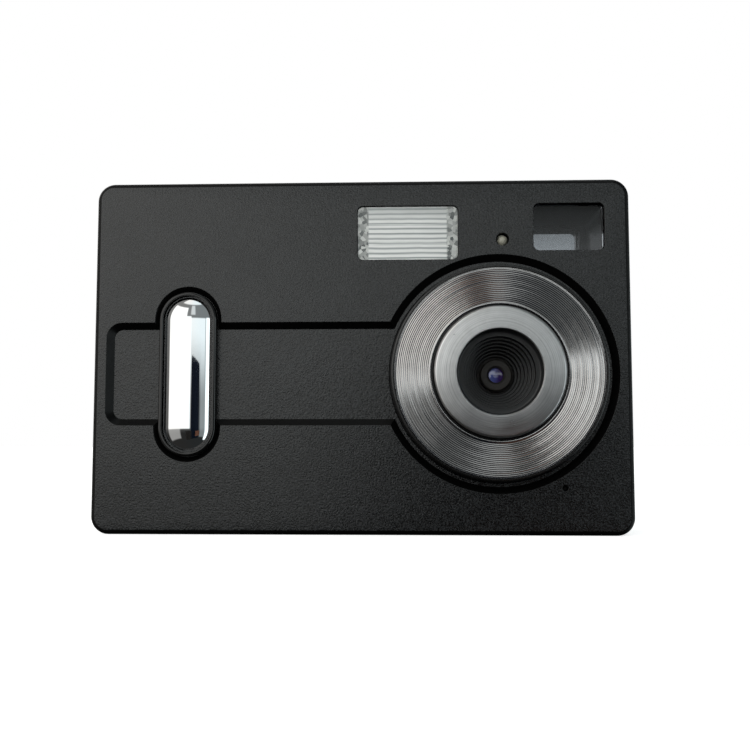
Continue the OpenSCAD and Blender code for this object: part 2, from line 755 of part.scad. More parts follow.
module lens_holder() {
    half = barrel_r + 1.2;
    neck_f = baffle_back_f - 1;
    foot_y = board_y - 0.05;
    color("#121314") difference() {
        union() {
            slab(0.6, foot_y) translate([lens_x, lens_z]) square(2 * half, center = true);
            pin_y(lens_x, lens_z, barrel_r + 0.9, -neck_f, 1);
        }
        pin_y(lens_x, lens_z, barrel_r + pin_gap, -neck_f - 1, -barrel_back_f + 0.1);
        slab(-barrel_back_f + 0.05, foot_y + 1) translate([lens_x, lens_z]) square(2 * 4.6, center = true);
    }
}

module infrared_filter() {
    color([0.7, 0.85, 0.8, 0.5]) slab(0, 0.5) translate([lens_x, lens_z]) square(9, center = true);
}

module image_sensor() {
    color("#3b3f46") slab(board_y - 1.3, board_y) translate([lens_x, lens_z]) square(8.6, center = true);
}

// ---- electronics ----

module main_board() {
    right = in_right - 0.5;
    color("#1e5b35") {
        difference() {
            slab(board_y, board_back) polygon([
                [board_left, board_low], [right, board_low],
                [right, finder_z - finder_h / 2 - 2.2], [board_left, board_high]
            ]);
            for (x = [board_left + 3, right - 3])
                pin_y(x, board_low + 3, 1.1, board_y - 1, board_back + 1);
        }
        // chips on the front, beside the lens
        for (c = [[-11, 6, 9], [-11, -8, 7], [-1, -14, 5]])
            if (lens_x - 16 + c[0] > board_left + c[2] / 2)
                slab(board_y - 1.1, board_y + eps)
                    translate([lens_x - 16 + c[0], lens_z + c[1]]) square(c[2], center = true);
    }
}

module flash_window() {
    front = y_front + flash_sink;
    color([0.9, 0.92, 0.93, 0.4]) {
        slab(front, in_front + eps)
            translate([flash_x, flash_z]) round_rect(flash_w, flash_h, window_r - fit_gap);
        slab(in_front, in_front + pane_flange_t) translate([flash_x, flash_z])
            round_rect(flash_w + 2 * pane_flange, flash_h + 2 * pane_flange, window_r);
    }
}

module flash_reflector() {
    w = flash_w - 3;
    h = flash_h - 1;
    depth = 5.2;
    trough_r = h / 2 - 0.5;
    color("#d8d8da") difference() {
        slab(reflector_y, reflector_y + depth) translate([flash_x, flash_z]) square([w, h], center = true);
        pin_x(tube_y - 0.1, flash_z, trough_r - 0.8, flash_x - w / 2 + 0.5, flash_x + w / 2 - 0.5);
        block([flash_x - w / 2 + 0.5, reflector_y - 1, flash_z - trough_r],
              [flash_x + w / 2 - 0.5, tube_y - 0.4, flash_z + trough_r]);
        pin_x(tube_y, flash_z, flash_tube_d / 2 + fit_gap, flash_x - w, flash_x + w);
    }
}

module flash_tube() {
    color([0.95, 0.95, 0.97, 0.6])
        pin_x(tube_y, flash_z, flash_tube_d / 2, flash_x - flash_w / 2 + 0.5, flash_x + flash_w / 2 - 0.5);
}

module flash_board() {
    y0 = in_front + capacitor_d + 2 * part_gap;
    right = finder_x - finder_w / 2 - 2;
    color("#1e5b35") slab(y0, y0 + 0.8)
        polygon([[capacitor_x0 - 0.5, flash_z - 3.5], [right, flash_z - 3.5],
                 [right, in_top - 1.2], [capacitor_x0 - 0.5, in_top - 1.2]]);
}

module flash_capacitor() {
    r = capacitor_d / 2;
    color("#26262c") pin_x(in_front + part_gap + r, in_top - 0.4 - r, r, capacitor_x0, capacitor_x1);
}

module finder_front_lens() {
    color([0.75, 0.8, 0.85, 0.4]) {
        slab(y_front + finder_sink, in_front + eps) translate([finder_x, finder_z])
            round_rect(finder_w - 2 * fit_gap, finder_h - 2 * fit_gap, window_r - fit_gap);
        slab(in_front, in_front + pane_flange_t) translate([finder_x, finder_z])
            round_rect(finder_w + 2 * pane_flange, finder_h + 2 * pane_flange, window_r);
    }
}

module finder_tunnel() {
    t = 0.7;
    color("#141516") difference() {
        slab(in_front + pane_flange_t + part_gap, in_back - part_gap) translate([finder_x, finder_z])
            round_rect(finder_w + 2 * t, finder_h + 2 * t, window_r);
        slab(in_front, in_back - 2.3)
            translate([finder_x, finder_z]) round_rect(finder_w, finder_h, window_r);
        slab(in_back - 2.5, in_back + 1) translate([finder_x, finder_z])
            round_rect(eyepiece_w + 0.6, eyepiece_h + 0.6, window_r);
    }
}

module finder_rear_lens() {
    color([0.75, 0.8, 0.85, 0.4]) slab(in_back - 1.6, in_back - 0.4) translate([finder_x, finder_z])
        round_rect(eyepiece_w + 0.6 - 2 * fit_gap, eyepiece_h + 0.6 - 2 * fit_gap, window_r - fit_gap);
}

module timer_lamp() {
    tip = y_front + lamp_sink;
    foot = in_front + 2.6;
    color([0.95, 0.92, 0.8, 0.7]) {
        pin_y(lamp_x, lamp_z, lamp_d / 2, tip + lamp_d / 2, foot);
        intersection() {
            translate([lamp_x, tip + lamp_d / 2, lamp_z]) sphere(d = lamp_d);
            slab(tip - 1, tip + lamp_d / 2 + eps)
                translate([lamp_x, lamp_z]) square(lamp_d + 1, center = true);
        }
        pin_y(lamp_x, lamp_z, lamp_d / 2 + 0.4, foot - 0.8, foot);
    }
}

module microphone() {
    color("#9a9ca0") pin_y(mic_x, mic_z, 2, in_front + 0.1, in_front + 1.6);
}

module display_module() {
    color("#2c2f33") slab(display_y, display_y + display_t) translate([screen_x, screen_z])
        square([display_w, display_h], center = true);
}

module display_window() {
    color([0.05, 0.06, 0.07, 0.9]) slab(y_back - screen_t, y_back) translate([screen_x, screen_z])
        round_rect(screen_w, screen_h, 1.4);
}

// A flat cable, bent twice, from the display's lower edge to the board.
module display_cable() {
    low = screen_z - display_h / 2;
    left = screen_x - display_w / 2 + 1.5;
    right = left + 11;
    bend_z = low - 2.2;
    rise_y = display_y + 1.05;
    color("#b8752a") {
        block([left, board_back + part_gap, bend_z], [right, board_back + part_gap + cable_t, low + 1]);
        block([left, board_back + part_gap, bend_z - cable_t], [right, rise_y + cable_t, bend_z + eps]);
        block([left, rise_y, bend_z - cable_t], [right, rise_y + cable_t, low - part_gap]);
    }
}

module status_lamp() {
    color([0.3, 0.8, 0.3, 0.8]) pin_y(status_x, finder_z, status_r, in_back - wall, y_back - part_gap);
}

// ---- keys ----

module key_board() {
    left = in_left + 0.5;
    right = screen_x - screen_w / 2 - 1;
    color("#1e5b35") slab(key_board_y, key_board_y + key_board_t)
        polygon([[left, nav_z - nav_key_r - 4], [right, nav_z - nav_key_r - 4],
                 [right, rocker_z + rocker_h / 2 + 1], [left, rocker_z + rocker_h / 2 + 1]]);
}

module key_domes() {
    y0 = key_board_y + key_board_t;
    places = concat([[key_x, nav_z]],
        [for (a = [0 : 90 : 270]) [key_x + nav_mid_r * cos(a), nav_z + nav_mid_r * sin(a)]],
        [for (s = [-1, 1]) [key_x + s * small_key_dx, small_key_z]],
        [for (s = [-1, 1]) [key_x + s * rocker_w / 3, rocker_z]]);
    color("#c9c9cc") for (p = places) pin_y(p[0], p[1], 1.5, y0 + eps, y0 + 0.2);
}

// One direction key: a quarter of a ring, with a flange behind the rear wall.
module nav_key(angle) {
    half = 42.5;
    far = 2 * nav_key_r;
    color("#38393c") intersection() {
        union() {
            nav_ring(nav_key_r, key_back_y, y_back + key_rise);
            nav_ring(nav_key_r + key_flange, key_back_y, key_back_y + key_flange_t);
        }
        slab(key_back_y - 1, y_back + 2) translate([key_x, nav_z]) rotate(angle)
            polygon([[0, 0], [far, -far * tan(half)], [far, far * tan(half)]]);
    }
}

module nav_ring(r, y0, y1) {
    slab(y0, y1) translate([key_x, nav_z]) difference() {
        circle(r);
        circle(ok_key_r + nav_gap);
    }
}

// A round key on the rear face.
module round_key(x, z, r, flange) {
    color("#38393c") {
        pin_y(x, z, r, key_back_y, y_back + key_rise);
        pin_y(x, z, r + flange, key_back_y, key_back_y + key_flange_t);
    }
}

module zoom_rocker() {
    back = key_back_y;
    color("#38393c") {
        slab(back, y_back + key_rise + 0.2)
            translate([key_x, rocker_z]) rotate(90) stadium(rocker_h, rocker_w);
        translate([key_x, rocker_pivot_y, rocker_z - rocker_h / 2 - 1.5])
            cylinder(r = rocker_pin_r, h = rocker_h + 3);
    }
}

// A round button in the top: a cap, a flange under the wall and a stem.
module top_button(x, d, rise) {
    flange_top = in_top - fit_gap;
    flange_t = 0.8;
    chamfer = 0.4;
    stem_z = top_board_z + top_board_t + switch_t + switch_stem + stem_gap;
    translate([x, top_key_y, 0]) {
        translate([0, 0, flange_top - flange_t]) cylinder(d = d + 1.4, h = flange_t);
        translate([0, 0, flange_top - eps]) cylinder(d = d, h = body_h + rise - flange_top + eps - chamfer);
        translate([0, 0, body_h + rise - chamfer - eps / 10])
            cylinder(d1 = d, d2 = d - 2 * chamfer, h = chamfer);
        translate([0, 0, stem_z]) cylinder(d = 2, h = flange_top - flange_t - stem_z + eps);
    }
}

module shutter_button() {
    color("#c7c8ca") top_button(shutter_x, shutter_d, shutter_rise);
}

module power_button() {
    color("#c7c8ca") top_button(power_x, power_d, power_rise);
}

module top_board() {
    half_t = 4;
    color("#1e5b35")
        block([strap_in_x + 1.4, top_key_y - half_t, top_board_z],
              [power_x + 3, top_key_y + half_t, top_board_z + top_board_t]);
}

module top_switches() {
    color("#4a4c50") for (x = [shutter_x, power_x]) translate([x, top_key_y, top_board_z + top_board_t]) {
        translate([-switch_w / 2, -switch_w / 2, 0]) cube([switch_w, switch_w, switch_t]);
        translate([0, 0, switch_t - eps]) cylinder(r = switch_w / 4, h = switch_stem);
    }
}

// ---- batteries ----

module battery_holder() {
    color("#1a1b1d") difference() {
        block([holder_x - holder_w / 2, holder_y - holder_t / 2, holder_z],
              [holder_x + holder_w / 2, holder_y + holder_t / 2, holder_top]);
        block([holder_x - holder_in_w / 2, holder_y - holder_in_t / 2, holder_z - 1],
              [holder_x + holder_in_w / 2, holder_y + holder_in_t / 2, holder_top - 0.8]);
    }
}

// A cell with a small button at one end; up is 1 when the button is at the top.
module battery(x, up) {
    can = battery_l - 0.9;
    translate([x, holder_y, battery_z + (up > 0 ? 0 : 0.9)]) {
        cylinder(d = battery_d, h = can);
        translate([0, 0, up > 0 ? can - eps : -0.9]) cylinder(d = 3.6, h = 0.9 + eps);
    }
}

module battery_left() {
    color("#37507a") battery(holder_x - battery_pitch / 2, 1);
}

module battery_right() {
    color("#37507a") battery(holder_x + battery_pitch / 2, -1);
}

// Plates under the holder's roof; a coil spring stands on the plate over each flat cell end.
module battery_contacts() {
    roof = holder_top - 0.8;
    color("#c9b36a") for (s = [-1, 1])
        translate([holder_x + s * battery_pitch / 2 - 4, holder_y - 4, roof - 0.35]) cube([8, 8, 0.3]);
    color("#c9b36a") translate([holder_x - battery_pitch / 2, holder_y, battery_z + battery_l + 0.02])
        cylinder(r = 1.5, h = roof - 0.3 - battery_z - battery_l - 0.02);
}

// A coil spring: a round wire swept up a helix that narrows to one end.
module coil(r0, r1, h, wire_r, turns) {
    sides = 8;
    rings = 16 * turns;
    points = [for (i = [0 : rings], j = [0 : sides - 1])
        let (t = i / rings, a = 360 * turns * t, r = r0 + (r1 - r0) * t, b = 360 * j / sides,
             d = r + wire_r * cos(b))
        [d * cos(a), d * sin(a), wire_r + (h - 2 * wire_r) * t + wire_r * sin(b)]];
    side_faces = [for (i = [0 : rings - 1], j = [0 : sides - 1])
        [i * sides + j, (i + 1) * sides + j,
         (i + 1) * sides + (j + 1) % sides, i * sides + (j + 1) % sides]];
    caps = [[for (j = [0 : sides - 1]) j], [for (j = [sides - 1 : -1 : 0]) rings * sides + j]];
    polyhedron(points, concat(side_faces, caps), convexity = 6);
}

module battery_springs() {
    low = battery_z + battery_l + 0.02;
    color("#c9c9cc") {
        translate([holder_x + battery_pitch / 2, holder_y, low])
            coil(3.4, 2.2, holder_top - 0.8 - 0.37 - low, 0.25, 3);
    }
}

module battery_door() {
    y0 = holder_y - door_w / 2;
    y1 = holder_y + door_w / 2;
    ridge_n = 5;
    ridge_pitch = 1.2;
    ridge_x = door_left + 9;
    ridge_inset = 2.6;
    ridge_depth = 0.25;
    color("#27282a") difference() {
        union() {
            block([door_left, y0, 0], [door_pin_x, y1, door_t]);
            pin_y(door_pin_x, door_barrel_r, door_barrel_r, y0, y1);
        }
        pin_y(door_pin_x, door_barrel_r, door_pin_d / 2 + pin_gap, y0 - 1, y1 + 1);
        // shallow thumb ridges near the free end
        for (i = [0 : ridge_n - 1])
            block([ridge_x + i * ridge_pitch, y0 + ridge_inset, -1],
                  [ridge_x + (i + 0.5) * ridge_pitch, y1 - ridge_inset, ridge_depth]);
        // the lock's slot, and its room inside
        block([lock_x - lock_half_l - lock_travel - fit_gap, holder_y - lock_half_w - fit_gap, -1],
              [lock_x + lock_half_l + fit_gap, holder_y + lock_half_w + fit_gap, door_t + 1]);
        block([door_left - 1, holder_y - lock_bolt_half_w - fit_gap, 0.5],
              [lock_x + lock_bolt_l + fit_gap, holder_y + lock_bolt_half_w + fit_gap, door_t + 1]);
    }
}

module door_lock() {
    color("#3a3b3e") {
        block([lock_x - lock_half_l, holder_y - lock_half_w, 0.15],
              [lock_x + lock_half_l, holder_y + lock_half_w, 0.6]);
        block([door_left + 0.05, holder_y - lock_bolt_half_w, 0.55],
              [lock_x + lock_bolt_l, holder_y + lock_bolt_half_w, door_t - 0.05]);
    }
}

module door_contact() {
    x0 = holder_x - battery_pitch / 2 - 2.6;
    x1 = holder_x + battery_pitch / 2 + 2.6;
    color("#c9b36a") difference() {
        block([x0, holder_y - 3, door_t + 0.01], [x1, holder_y + 3, door_t + 0.31]);
        block([holder_x - 1.5, holder_y - 1, door_t - 1], [holder_x + 1.5, holder_y + 1, door_t + 1]);
    }
    // two pads that press on the cells
    color("#c9b36a") for (s = [-1, 1])
        translate([holder_x + s * battery_pitch / 2, holder_y, door_t + 0.3])
            cylinder(r1 = 2, r2 = 1.2, h = battery_z - door_t - 0.3 - 0.05);
}

module door_pin() {
    color("#b4b6b9")
        pin_y(door_pin_x, door_barrel_r, door_pin_d / 2,
              holder_y - door_w / 2 - door_pin_reach, holder_y + door_w / 2 + door_pin_reach);
}

// ---- sockets ----

module usb_socket() {
    low = usb_z - usb_w / 2;
    x1 = x_right - usb_cover_t - 0.2;
    color("#b9bbbf") difference() {
        block([x1 - 8.5, socket_y, low], [x1, socket_y + usb_t, low + usb_w]);
        block([x1 - 6, socket_y + 0.35, low + 0.35], [x1 + 1, socket_y + usb_t - 0.35, low + usb_w - 0.35]);
    }
    color("#121314")
        block([x1 - 6.01, socket_y + usb_t / 2 - usb_tongue_t / 2, usb_z - usb_tongue_w / 2],
              [x1 - 1.5, socket_y + usb_t / 2 + usb_tongue_t / 2, usb_z + usb_tongue_w / 2]);
}

module usb_cover() {
    hinge_x = x_right - usb_cover_t / 2;
    z0 = usb_z - usb_w / 2 - 1;
    z1 = usb_z + usb_w / 2 + 1;
    color("#1b1c1d") {
        block([x_right - usb_cover_t, usb_hinge_y, z0], [x_right, socket_y + usb_t + 0.8, z1]);
        translate([hinge_x, usb_hinge_y, z0]) cylinder(d = usb_cover_t, h = z1 - z0);
    }
}

module card_socket() {
    low = card_z - card_w / 2;
    x1 = in_right - 0.1;
    color("#b9bbbf") difference() {
        block([x1 - 29.5, socket_y, low - 0.7], [x1, socket_y + card_t + card_shell, low + card_w + 0.7]);
        block([x1 - 28.6, socket_y + 0.2, low - 0.2],
              [x1 + 1, socket_y + card_t + 0.4, low + card_w + 0.2]);
    }
}

module tripod_socket() {
    color("#b08d4a") difference() {
        cylinder(r = tripod_insert_r - eps, h = tripod_l - eps);
        translate([0, 0, -1]) cylinder(r = tripod_r, h = tripod_l);
    }
}

module strap_bar() {
    color("#b4b6b9") translate([strap_bar_x, strap_y, strap_z - 3.15]) cylinder(d = strap_bar_d, h = 6.3);
}

// ---- the assembly ----

front_cover();
rear_cover();
grip_frame();
grip_bar();
lens_drum();
trim_disc();
lens_ring();
lens_baffle();
front_lens();
lens_barrel();
rear_lens();
lens_holder();
infrared_filter();
image_sensor();
main_board();
flash_window();
flash_reflector();
flash_tube();
flash_capacitor();
flash_board();
finder_front_lens();
finder_tunnel();
finder_rear_lens();
timer_lamp();
microphone();
display_module();
display_window();
display_cable();
status_lamp();
key_board();
key_domes();
nav_key(90);  // key_up
nav_key(270);  // key_down
nav_key(180);  // key_left
nav_key(0);  // key_right
round_key(key_x, nav_z, ok_key_r, 0.3);  // key_ok
round_key(key_x - small_key_dx, small_key_z, small_key_r, key_flange);  // key_menu
round_key(key_x + small_key_dx, small_key_z, small_key_r, key_flange);  // key_play
zoom_rocker();
shutter_button();
power_button();
top_board();
top_switches();
battery_holder();
battery_left();
battery_right();
battery_contacts();
battery_springs();
battery_door();
door_contact();
door_pin();
door_lock();
usb_socket();
usb_cover();
card_socket();
tripod_socket();
strap_bar();
case_screws();
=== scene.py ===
import math

import bmesh
import bpy
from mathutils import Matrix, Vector


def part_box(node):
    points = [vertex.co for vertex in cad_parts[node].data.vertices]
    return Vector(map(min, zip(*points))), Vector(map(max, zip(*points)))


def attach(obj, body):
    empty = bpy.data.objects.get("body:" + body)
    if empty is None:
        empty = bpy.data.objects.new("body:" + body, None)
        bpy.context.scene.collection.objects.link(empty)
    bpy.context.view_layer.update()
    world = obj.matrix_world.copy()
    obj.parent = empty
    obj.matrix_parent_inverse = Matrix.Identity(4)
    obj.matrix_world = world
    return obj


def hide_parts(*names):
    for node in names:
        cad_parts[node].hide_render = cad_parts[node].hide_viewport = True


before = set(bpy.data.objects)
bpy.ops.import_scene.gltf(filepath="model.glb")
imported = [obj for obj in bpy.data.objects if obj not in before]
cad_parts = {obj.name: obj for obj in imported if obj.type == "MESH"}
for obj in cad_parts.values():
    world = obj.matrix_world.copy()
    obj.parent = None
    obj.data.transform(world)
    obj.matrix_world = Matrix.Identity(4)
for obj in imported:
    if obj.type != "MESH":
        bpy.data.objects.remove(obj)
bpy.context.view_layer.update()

MM = 0.001
FULL_TURN = 2 * math.pi

# ---- where the design puts things ----


def node_box(name):
    """The lowest and highest corners of a node, as vectors in metres."""
    low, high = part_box(name)
    return Vector(low), Vector(high)


COVER_LOW, COVER_HIGH = node_box("front_cover")
DISC_LOW, DISC_HIGH = node_box("trim_disc")
DRUM_LOW, DRUM_HIGH = node_box("lens_drum")
RING_LOW, RING_HIGH = node_box("lens_ring")
BAFFLE_LOW, BAFFLE_HIGH = node_box("lens_baffle")
GRIP_LOW, GRIP_HIGH = node_box("grip_bar")
FRAME_LOW, FRAME_HIGH = node_box("grip_frame")
FACE_Y = COVER_LOW.y
CASE_TOP = node_box("rear_cover")[1].z
LENS = (DISC_LOW + DISC_HIGH) / 2
DISC_R = (DISC_HIGH.x - DISC_LOW.x) / 2
RING_R = (RING_HIGH.x - RING_LOW.x) / 2


# ---- modelling by hand, in code ----


def make_active(piece):
    """Selects one piece alone and makes it the active one."""
    bpy.ops.object.select_all(action="DESELECT")
    piece.select_set(True)
    bpy.context.view_layer.objects.active = piece


def start_piece(name, add, **settings):
    """Adds a primitive with nothing else selected, and names it."""
    bpy.ops.object.select_all(action="DESELECT")
    add(**settings)
    piece = bpy.context.object
    piece.name = name
    piece.data.name = name
    make_active(piece)
    bpy.ops.object.transform_apply(location=True, rotation=True, scale=True)
    return piece


def edit(piece):
    """Enters edit mode with everything on the piece selected."""
    make_active(piece)
    bpy.ops.object.mode_set(mode="EDIT")
    bpy.ops.mesh.select_mode(type="VERT")
    bpy.ops.mesh.select_all(action="SELECT")


def leave_edit():
    bpy.ops.object.mode_set(mode="OBJECT")


def select_where(piece, test, kind="FACE"):
    """In edit mode, selects only the faces, edges or vertices that pass a test."""
    bpy.ops.mesh.select_mode(type=kind)
    bpy.ops.mesh.select_all(action="DESELECT")
    mesh = bmesh.from_edit_mesh(piece.data)
    group = {"FACE": mesh.faces, "EDGE": mesh.edges, "VERT": mesh.verts}[kind]
    for element in group:
        if test(element):
            element.select_set(True)
    mesh.select_flush_mode()
    bmesh.update_edit_mesh(piece.data)


def edge_middle(edge):
    return (edge.verts[0].co + edge.verts[1].co) / 2


def tidy_mesh(piece, gap=0.002 * MM):
    """Merges doubles, drops loose edges and turns every face outwards."""
    edit(piece)
    bpy.ops.mesh.remove_doubles(threshold=gap)
    bpy.ops.mesh.delete_loose()
    bpy.ops.mesh.select_all(action="SELECT")
    bpy.ops.mesh.normals_make_consistent(inside=False)
    leave_edit()


def smooth(piece, angle=30):
    make_active(piece)
    bpy.ops.object.shade_smooth_by_angle(angle=math.radians(angle))


def apply_modifier(piece, kind, **settings):
    modifier = piece.modifiers.new(kind.lower(), kind)
    for key, value in settings.items():
        setattr(modifier, key, value)
    make_active(piece)
    bpy.ops.object.modifier_apply(modifier=modifier.name)


def soften(piece, width, segments=3, angle=30):
    """Rounds every edge that is sharper than an angle."""
    apply_modifier(piece, "BEVEL", width=width, segments=segments, limit_method="ANGLE",
                   angle_limit=math.radians(angle), harden_normals=False, use_clamp_overlap=True)


def arc(centre, radius, start, end, count):
    """Points along an arc, in the plane of a profile; angles are in degrees."""
    points = []
    for i in range(count + 1):
        a = math.radians(start + (end - start) * i / count)
        points.append((centre[0] + radius * math.cos(a), centre[1] + radius * math.sin(a)))
    return points


def lathe(name, profile, centre, steps=192, upright=False):
    """A solid turned about an axis along Y, or along Z when upright.

    The profile is a closed outline of (radius, distance along the axis) in metres, and the distance
    is measured from the centre."""
    along = Vector((0, 0, 1)) if upright else Vector((0, 1, 0))
    points = [centre + Vector((r, 0, 0)) + along * d for r, d in profile]
    piece = start_piece(name, bpy.ops.mesh.primitive_plane_add, size=MM, location=points[0])
    edit(piece)
    bpy.ops.mesh.merge(type="CENTER")
    at = points[0]
    for point in points[1:] + points[:1]:
        bpy.ops.mesh.extrude_vertices_move(TRANSFORM_OT_translate={"value": point - at})
        at = point
    bpy.ops.mesh.select_all(action="SELECT")
    bpy.ops.mesh.remove_doubles(threshold=0.002 * MM)
    bpy.ops.mesh.spin(steps=steps, angle=FULL_TURN, center=centre, axis=along)
    leave_edit()
    tidy_mesh(piece)
    smooth(piece)
    return piece


def copied_node(node, name):
    """A merged copy of a CAD node's mesh, with its flat faces whole again."""
    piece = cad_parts[node].copy()
    piece.data = piece.data.copy()
    piece.name = name
    piece.data.name = name
    bpy.context.scene.collection.objects.link(piece)
    edit(piece)
    bpy.ops.mesh.remove_doubles(threshold=0.001 * MM)
    bpy.ops.mesh.customdata_custom_splitnormals_clear()
    bpy.ops.mesh.dissolve_limited(angle_limit=math.radians(1))
    leave_edit()
    return piece


# ---- materials ----


class Wire:
    """A socket's value, which Python's operators turn into Math nodes."""

    def __init__(self, shader, socket):
        self.shader = shader
        self.socket = socket

    def math(self, operation, *others):
        node = self.shader.node("ShaderNodeMath", {"operation": operation}, [self, *others])
        return node.out()

    def __add__(self, other):
        return self.math("ADD", other)

    def __radd__(self, other):
        return self.math("ADD", other)

    def __mul__(self, other):
        return self.math("MULTIPLY", other)

    def __rmul__(self, other):
        return self.math("MULTIPLY", other)

    def __sub__(self, other):
        return self.math("SUBTRACT", other)

    def __rsub__(self, other):
        return (self * -1) + other

    def __truediv__(self, other):
        return self.math("DIVIDE", other)

    def __rtruediv__(self, other):
        return other * self.math("POWER", -1)

    def __gt__(self, other):
        return self.math("GREATER_THAN", other)

    def __lt__(self, other):
        return self.math("LESS_THAN", other)

    def sine(self):
        return self.math("SINE")

    def root(self):
        return self.math("SQRT")

    def size(self):
        return self.math("ABSOLUTE")

    def ramp(self, low, high, to_low=0.0, to_high=1.0):
        """Maps low..high to to_low..to_high, smoothly and with clamped ends."""
        settings = {"interpolation_type": "SMOOTHSTEP"}
        return self.shader.node("ShaderNodeMapRange", settings, [self, low, high, to_low, to_high]).out()


class Placed:
    """A node of a shader, with its outputs by name."""

    def __init__(self, shader, node):
        self.shader = shader
        self.node = node

    def out(self, name=0):
        return Wire(self.shader, self.node.outputs[name])


class Graph:
    """A node tree that is written as expressions."""

    def __init__(self, tree):
        self.tree = tree

    def feed(self, socket, value):
        if isinstance(value, Wire):
            self.tree.links.new(value.socket, socket)
        elif isinstance(value, (tuple, list)) and len(value) == 3 and socket.type == "RGBA":
            socket.default_value = (*value, 1)
        else:
            socket.default_value = value

    def node(self, kind, settings=None, inputs=()):
        """Adds a node: its settings first, then its inputs, in order or by name."""
        node = self.tree.nodes.new(kind)
        for key, value in (settings or {}).items():
            setattr(node, key, value)
        pairs = inputs.items() if isinstance(inputs, dict) else enumerate(inputs)
        for key, value in pairs:
            self.feed(node.inputs[key], value)
        return Placed(self, node)

    def vector(self, operation, *inputs):
        return self.node("ShaderNodeVectorMath", {"operation": operation}, inputs).out()

    def scaled(self, vector, factor):
        node = self.node("ShaderNodeVectorMath", {"operation": "SCALE"}, {"Vector": vector, "Scale": factor})
        return node.out()

    def parts(self, vector):
        split = self.node("ShaderNodeSeparateXYZ", None, [vector])
        return split.out("X"), split.out("Y"), split.out("Z")

    def join(self, x, y, z):
        return self.node("ShaderNodeCombineXYZ", None, [x, y, z]).out()

    def noise(self, size, detail=2.0, roughness=0.5, place=None):
        """Cloudy noise from 0 to 1, with features about as large as size, in metres."""
        inputs = {"Vector": place or self.place, "Scale": 1 / size, "Detail": detail, "Roughness": roughness}
        return self.node("ShaderNodeTexNoise", None, inputs).out("Fac")

    def grain(self, along, size, detail=1.0):
        """Noise that changes along one value only, such as a radius."""
        inputs = {"W": along, "Scale": 1 / size, "Detail": detail}
        return self.node("ShaderNodeTexNoise", {"noise_dimensions": "1D"}, inputs).out("Fac")

    def cells(self, size):
        """Cells about as large as size: the node's Distance, and one Color for each cell."""
        return self.node("ShaderNodeTexVoronoi", {"feature": "F1"}, {"Vector": self.place, "Scale": 1 / size})

    def mix(self, factor, a, b):
        """Mixes two colours."""
        node = self.node("ShaderNodeMix", {"data_type": "RGBA"})
        self.feed(node.node.inputs["Factor"], factor)
        self.feed(node.node.inputs[6], a)
        self.feed(node.node.inputs[7], b)
        return Wire(self, node.node.outputs[2])


class Shader(Graph):
    """One material: a Principled shader and the nodes that feed it."""

    def __init__(self, name, edge=0.0, **constants):
        self.name = name
        self.material = bpy.data.materials.new(name + "_finish")
        self.material.use_nodes = True
        super().__init__(self.material.node_tree)
        self.principled = self.tree.nodes["Principled BSDF"]
        self.place = self.node("ShaderNodeTexCoord").out("Object")
        self.edge = edge
        self.set(**constants)

    def set(self, **values):
        """Sets or links the Principled shader's sockets: base_color=... is Base Color."""
        for key, value in values.items():
            name = key.replace("_", " ").title().replace("Ior", "IOR")
            self.feed(self.principled.inputs[name], value)
        return self

    def bump(self, height, depth, strength=1.0):
        """Adds a bump, over edges that are rounded by the shader's edge radius."""
        inputs = {"Height": height, "Distance": depth, "Strength": strength}
        if self.edge:
            inputs["Normal"] = self.node("ShaderNodeBevel", {"samples": 6}, {"Radius": self.edge}).out()
        self.set(normal=self.node("ShaderNodeBump", None, inputs).out())
        return self


def grey(value, warmth=0.0):
    """A grey with a touch of warmth (red up, blue down) or coolness."""
    return (value * (1 + warmth), value, value * (1 - warmth))


def dusting(shader, size=6 * MM):
    """A slow, faint variation of gloss, as handled surfaces have."""
    return shader.noise(size, detail=4.0, roughness=0.6)


def moulded_plastic(name, shade, rough, grain_size, grain_depth, fleck=0.25, warmth=0.0):
    """Matte plastic from a spark-eroded mould: a fine even grain, and a faint mottle."""
    shader = Shader(name, edge=0.12 * MM, specular_ior_level=0.62)
    grain = shader.noise(grain_size, detail=2.0, roughness=0.6)
    coarse = shader.noise(grain_size * 3, detail=2.0)
    mottle = (grain * 0.8 + coarse * 0.2).ramp(0.4, 0.64)
    low = grey(shade * (1 - fleck), warmth)
    high = grey(shade * (1 + fleck), warmth)
    shader.set(base_color=shader.mix(mottle, low, high))
    shader.set(roughness=(dusting(shader) - 0.5) * 0.12 + (mottle - 0.5) * 0.08 + rough)
    return shader.bump(grain + coarse * 0.25, grain_depth)


def gloss_plastic(name, shade, rough=0.09):
    """Polished plastic with hairline marks and a little haze."""
    shader = Shader(name, specular_ior_level=0.5)
    haze = dusting(shader, 4 * MM)
    shader.set(base_color=shader.mix(haze, grey(shade), grey(shade * 1.6)))
    shader.set(roughness=haze.ramp(0.3, 0.8, rough, rough * 2))
    return shader.bump(shader.noise(1.5 * MM, detail=3.0), 0.004 * MM, 0.5)


def plain_metal(name, colour, rough, size=0.4 * MM):
    """Drawn or stamped metal: stretched fine lines and a soft gloss variation."""
    shader = Shader(name, metallic=1.0)
    x, y, z = shader.parts(shader.place)
    lines = shader.noise(size, detail=4.0, place=shader.join(x * 0.15, y, z * 0.15))
    dull = tuple(c * 0.8 for c in colour)
    shader.set(base_color=shader.mix(lines, dull, colour))
    shader.set(roughness=lines * 0.14 + (rough - 0.07))
    return shader.bump(lines, 0.004 * MM, 0.6)


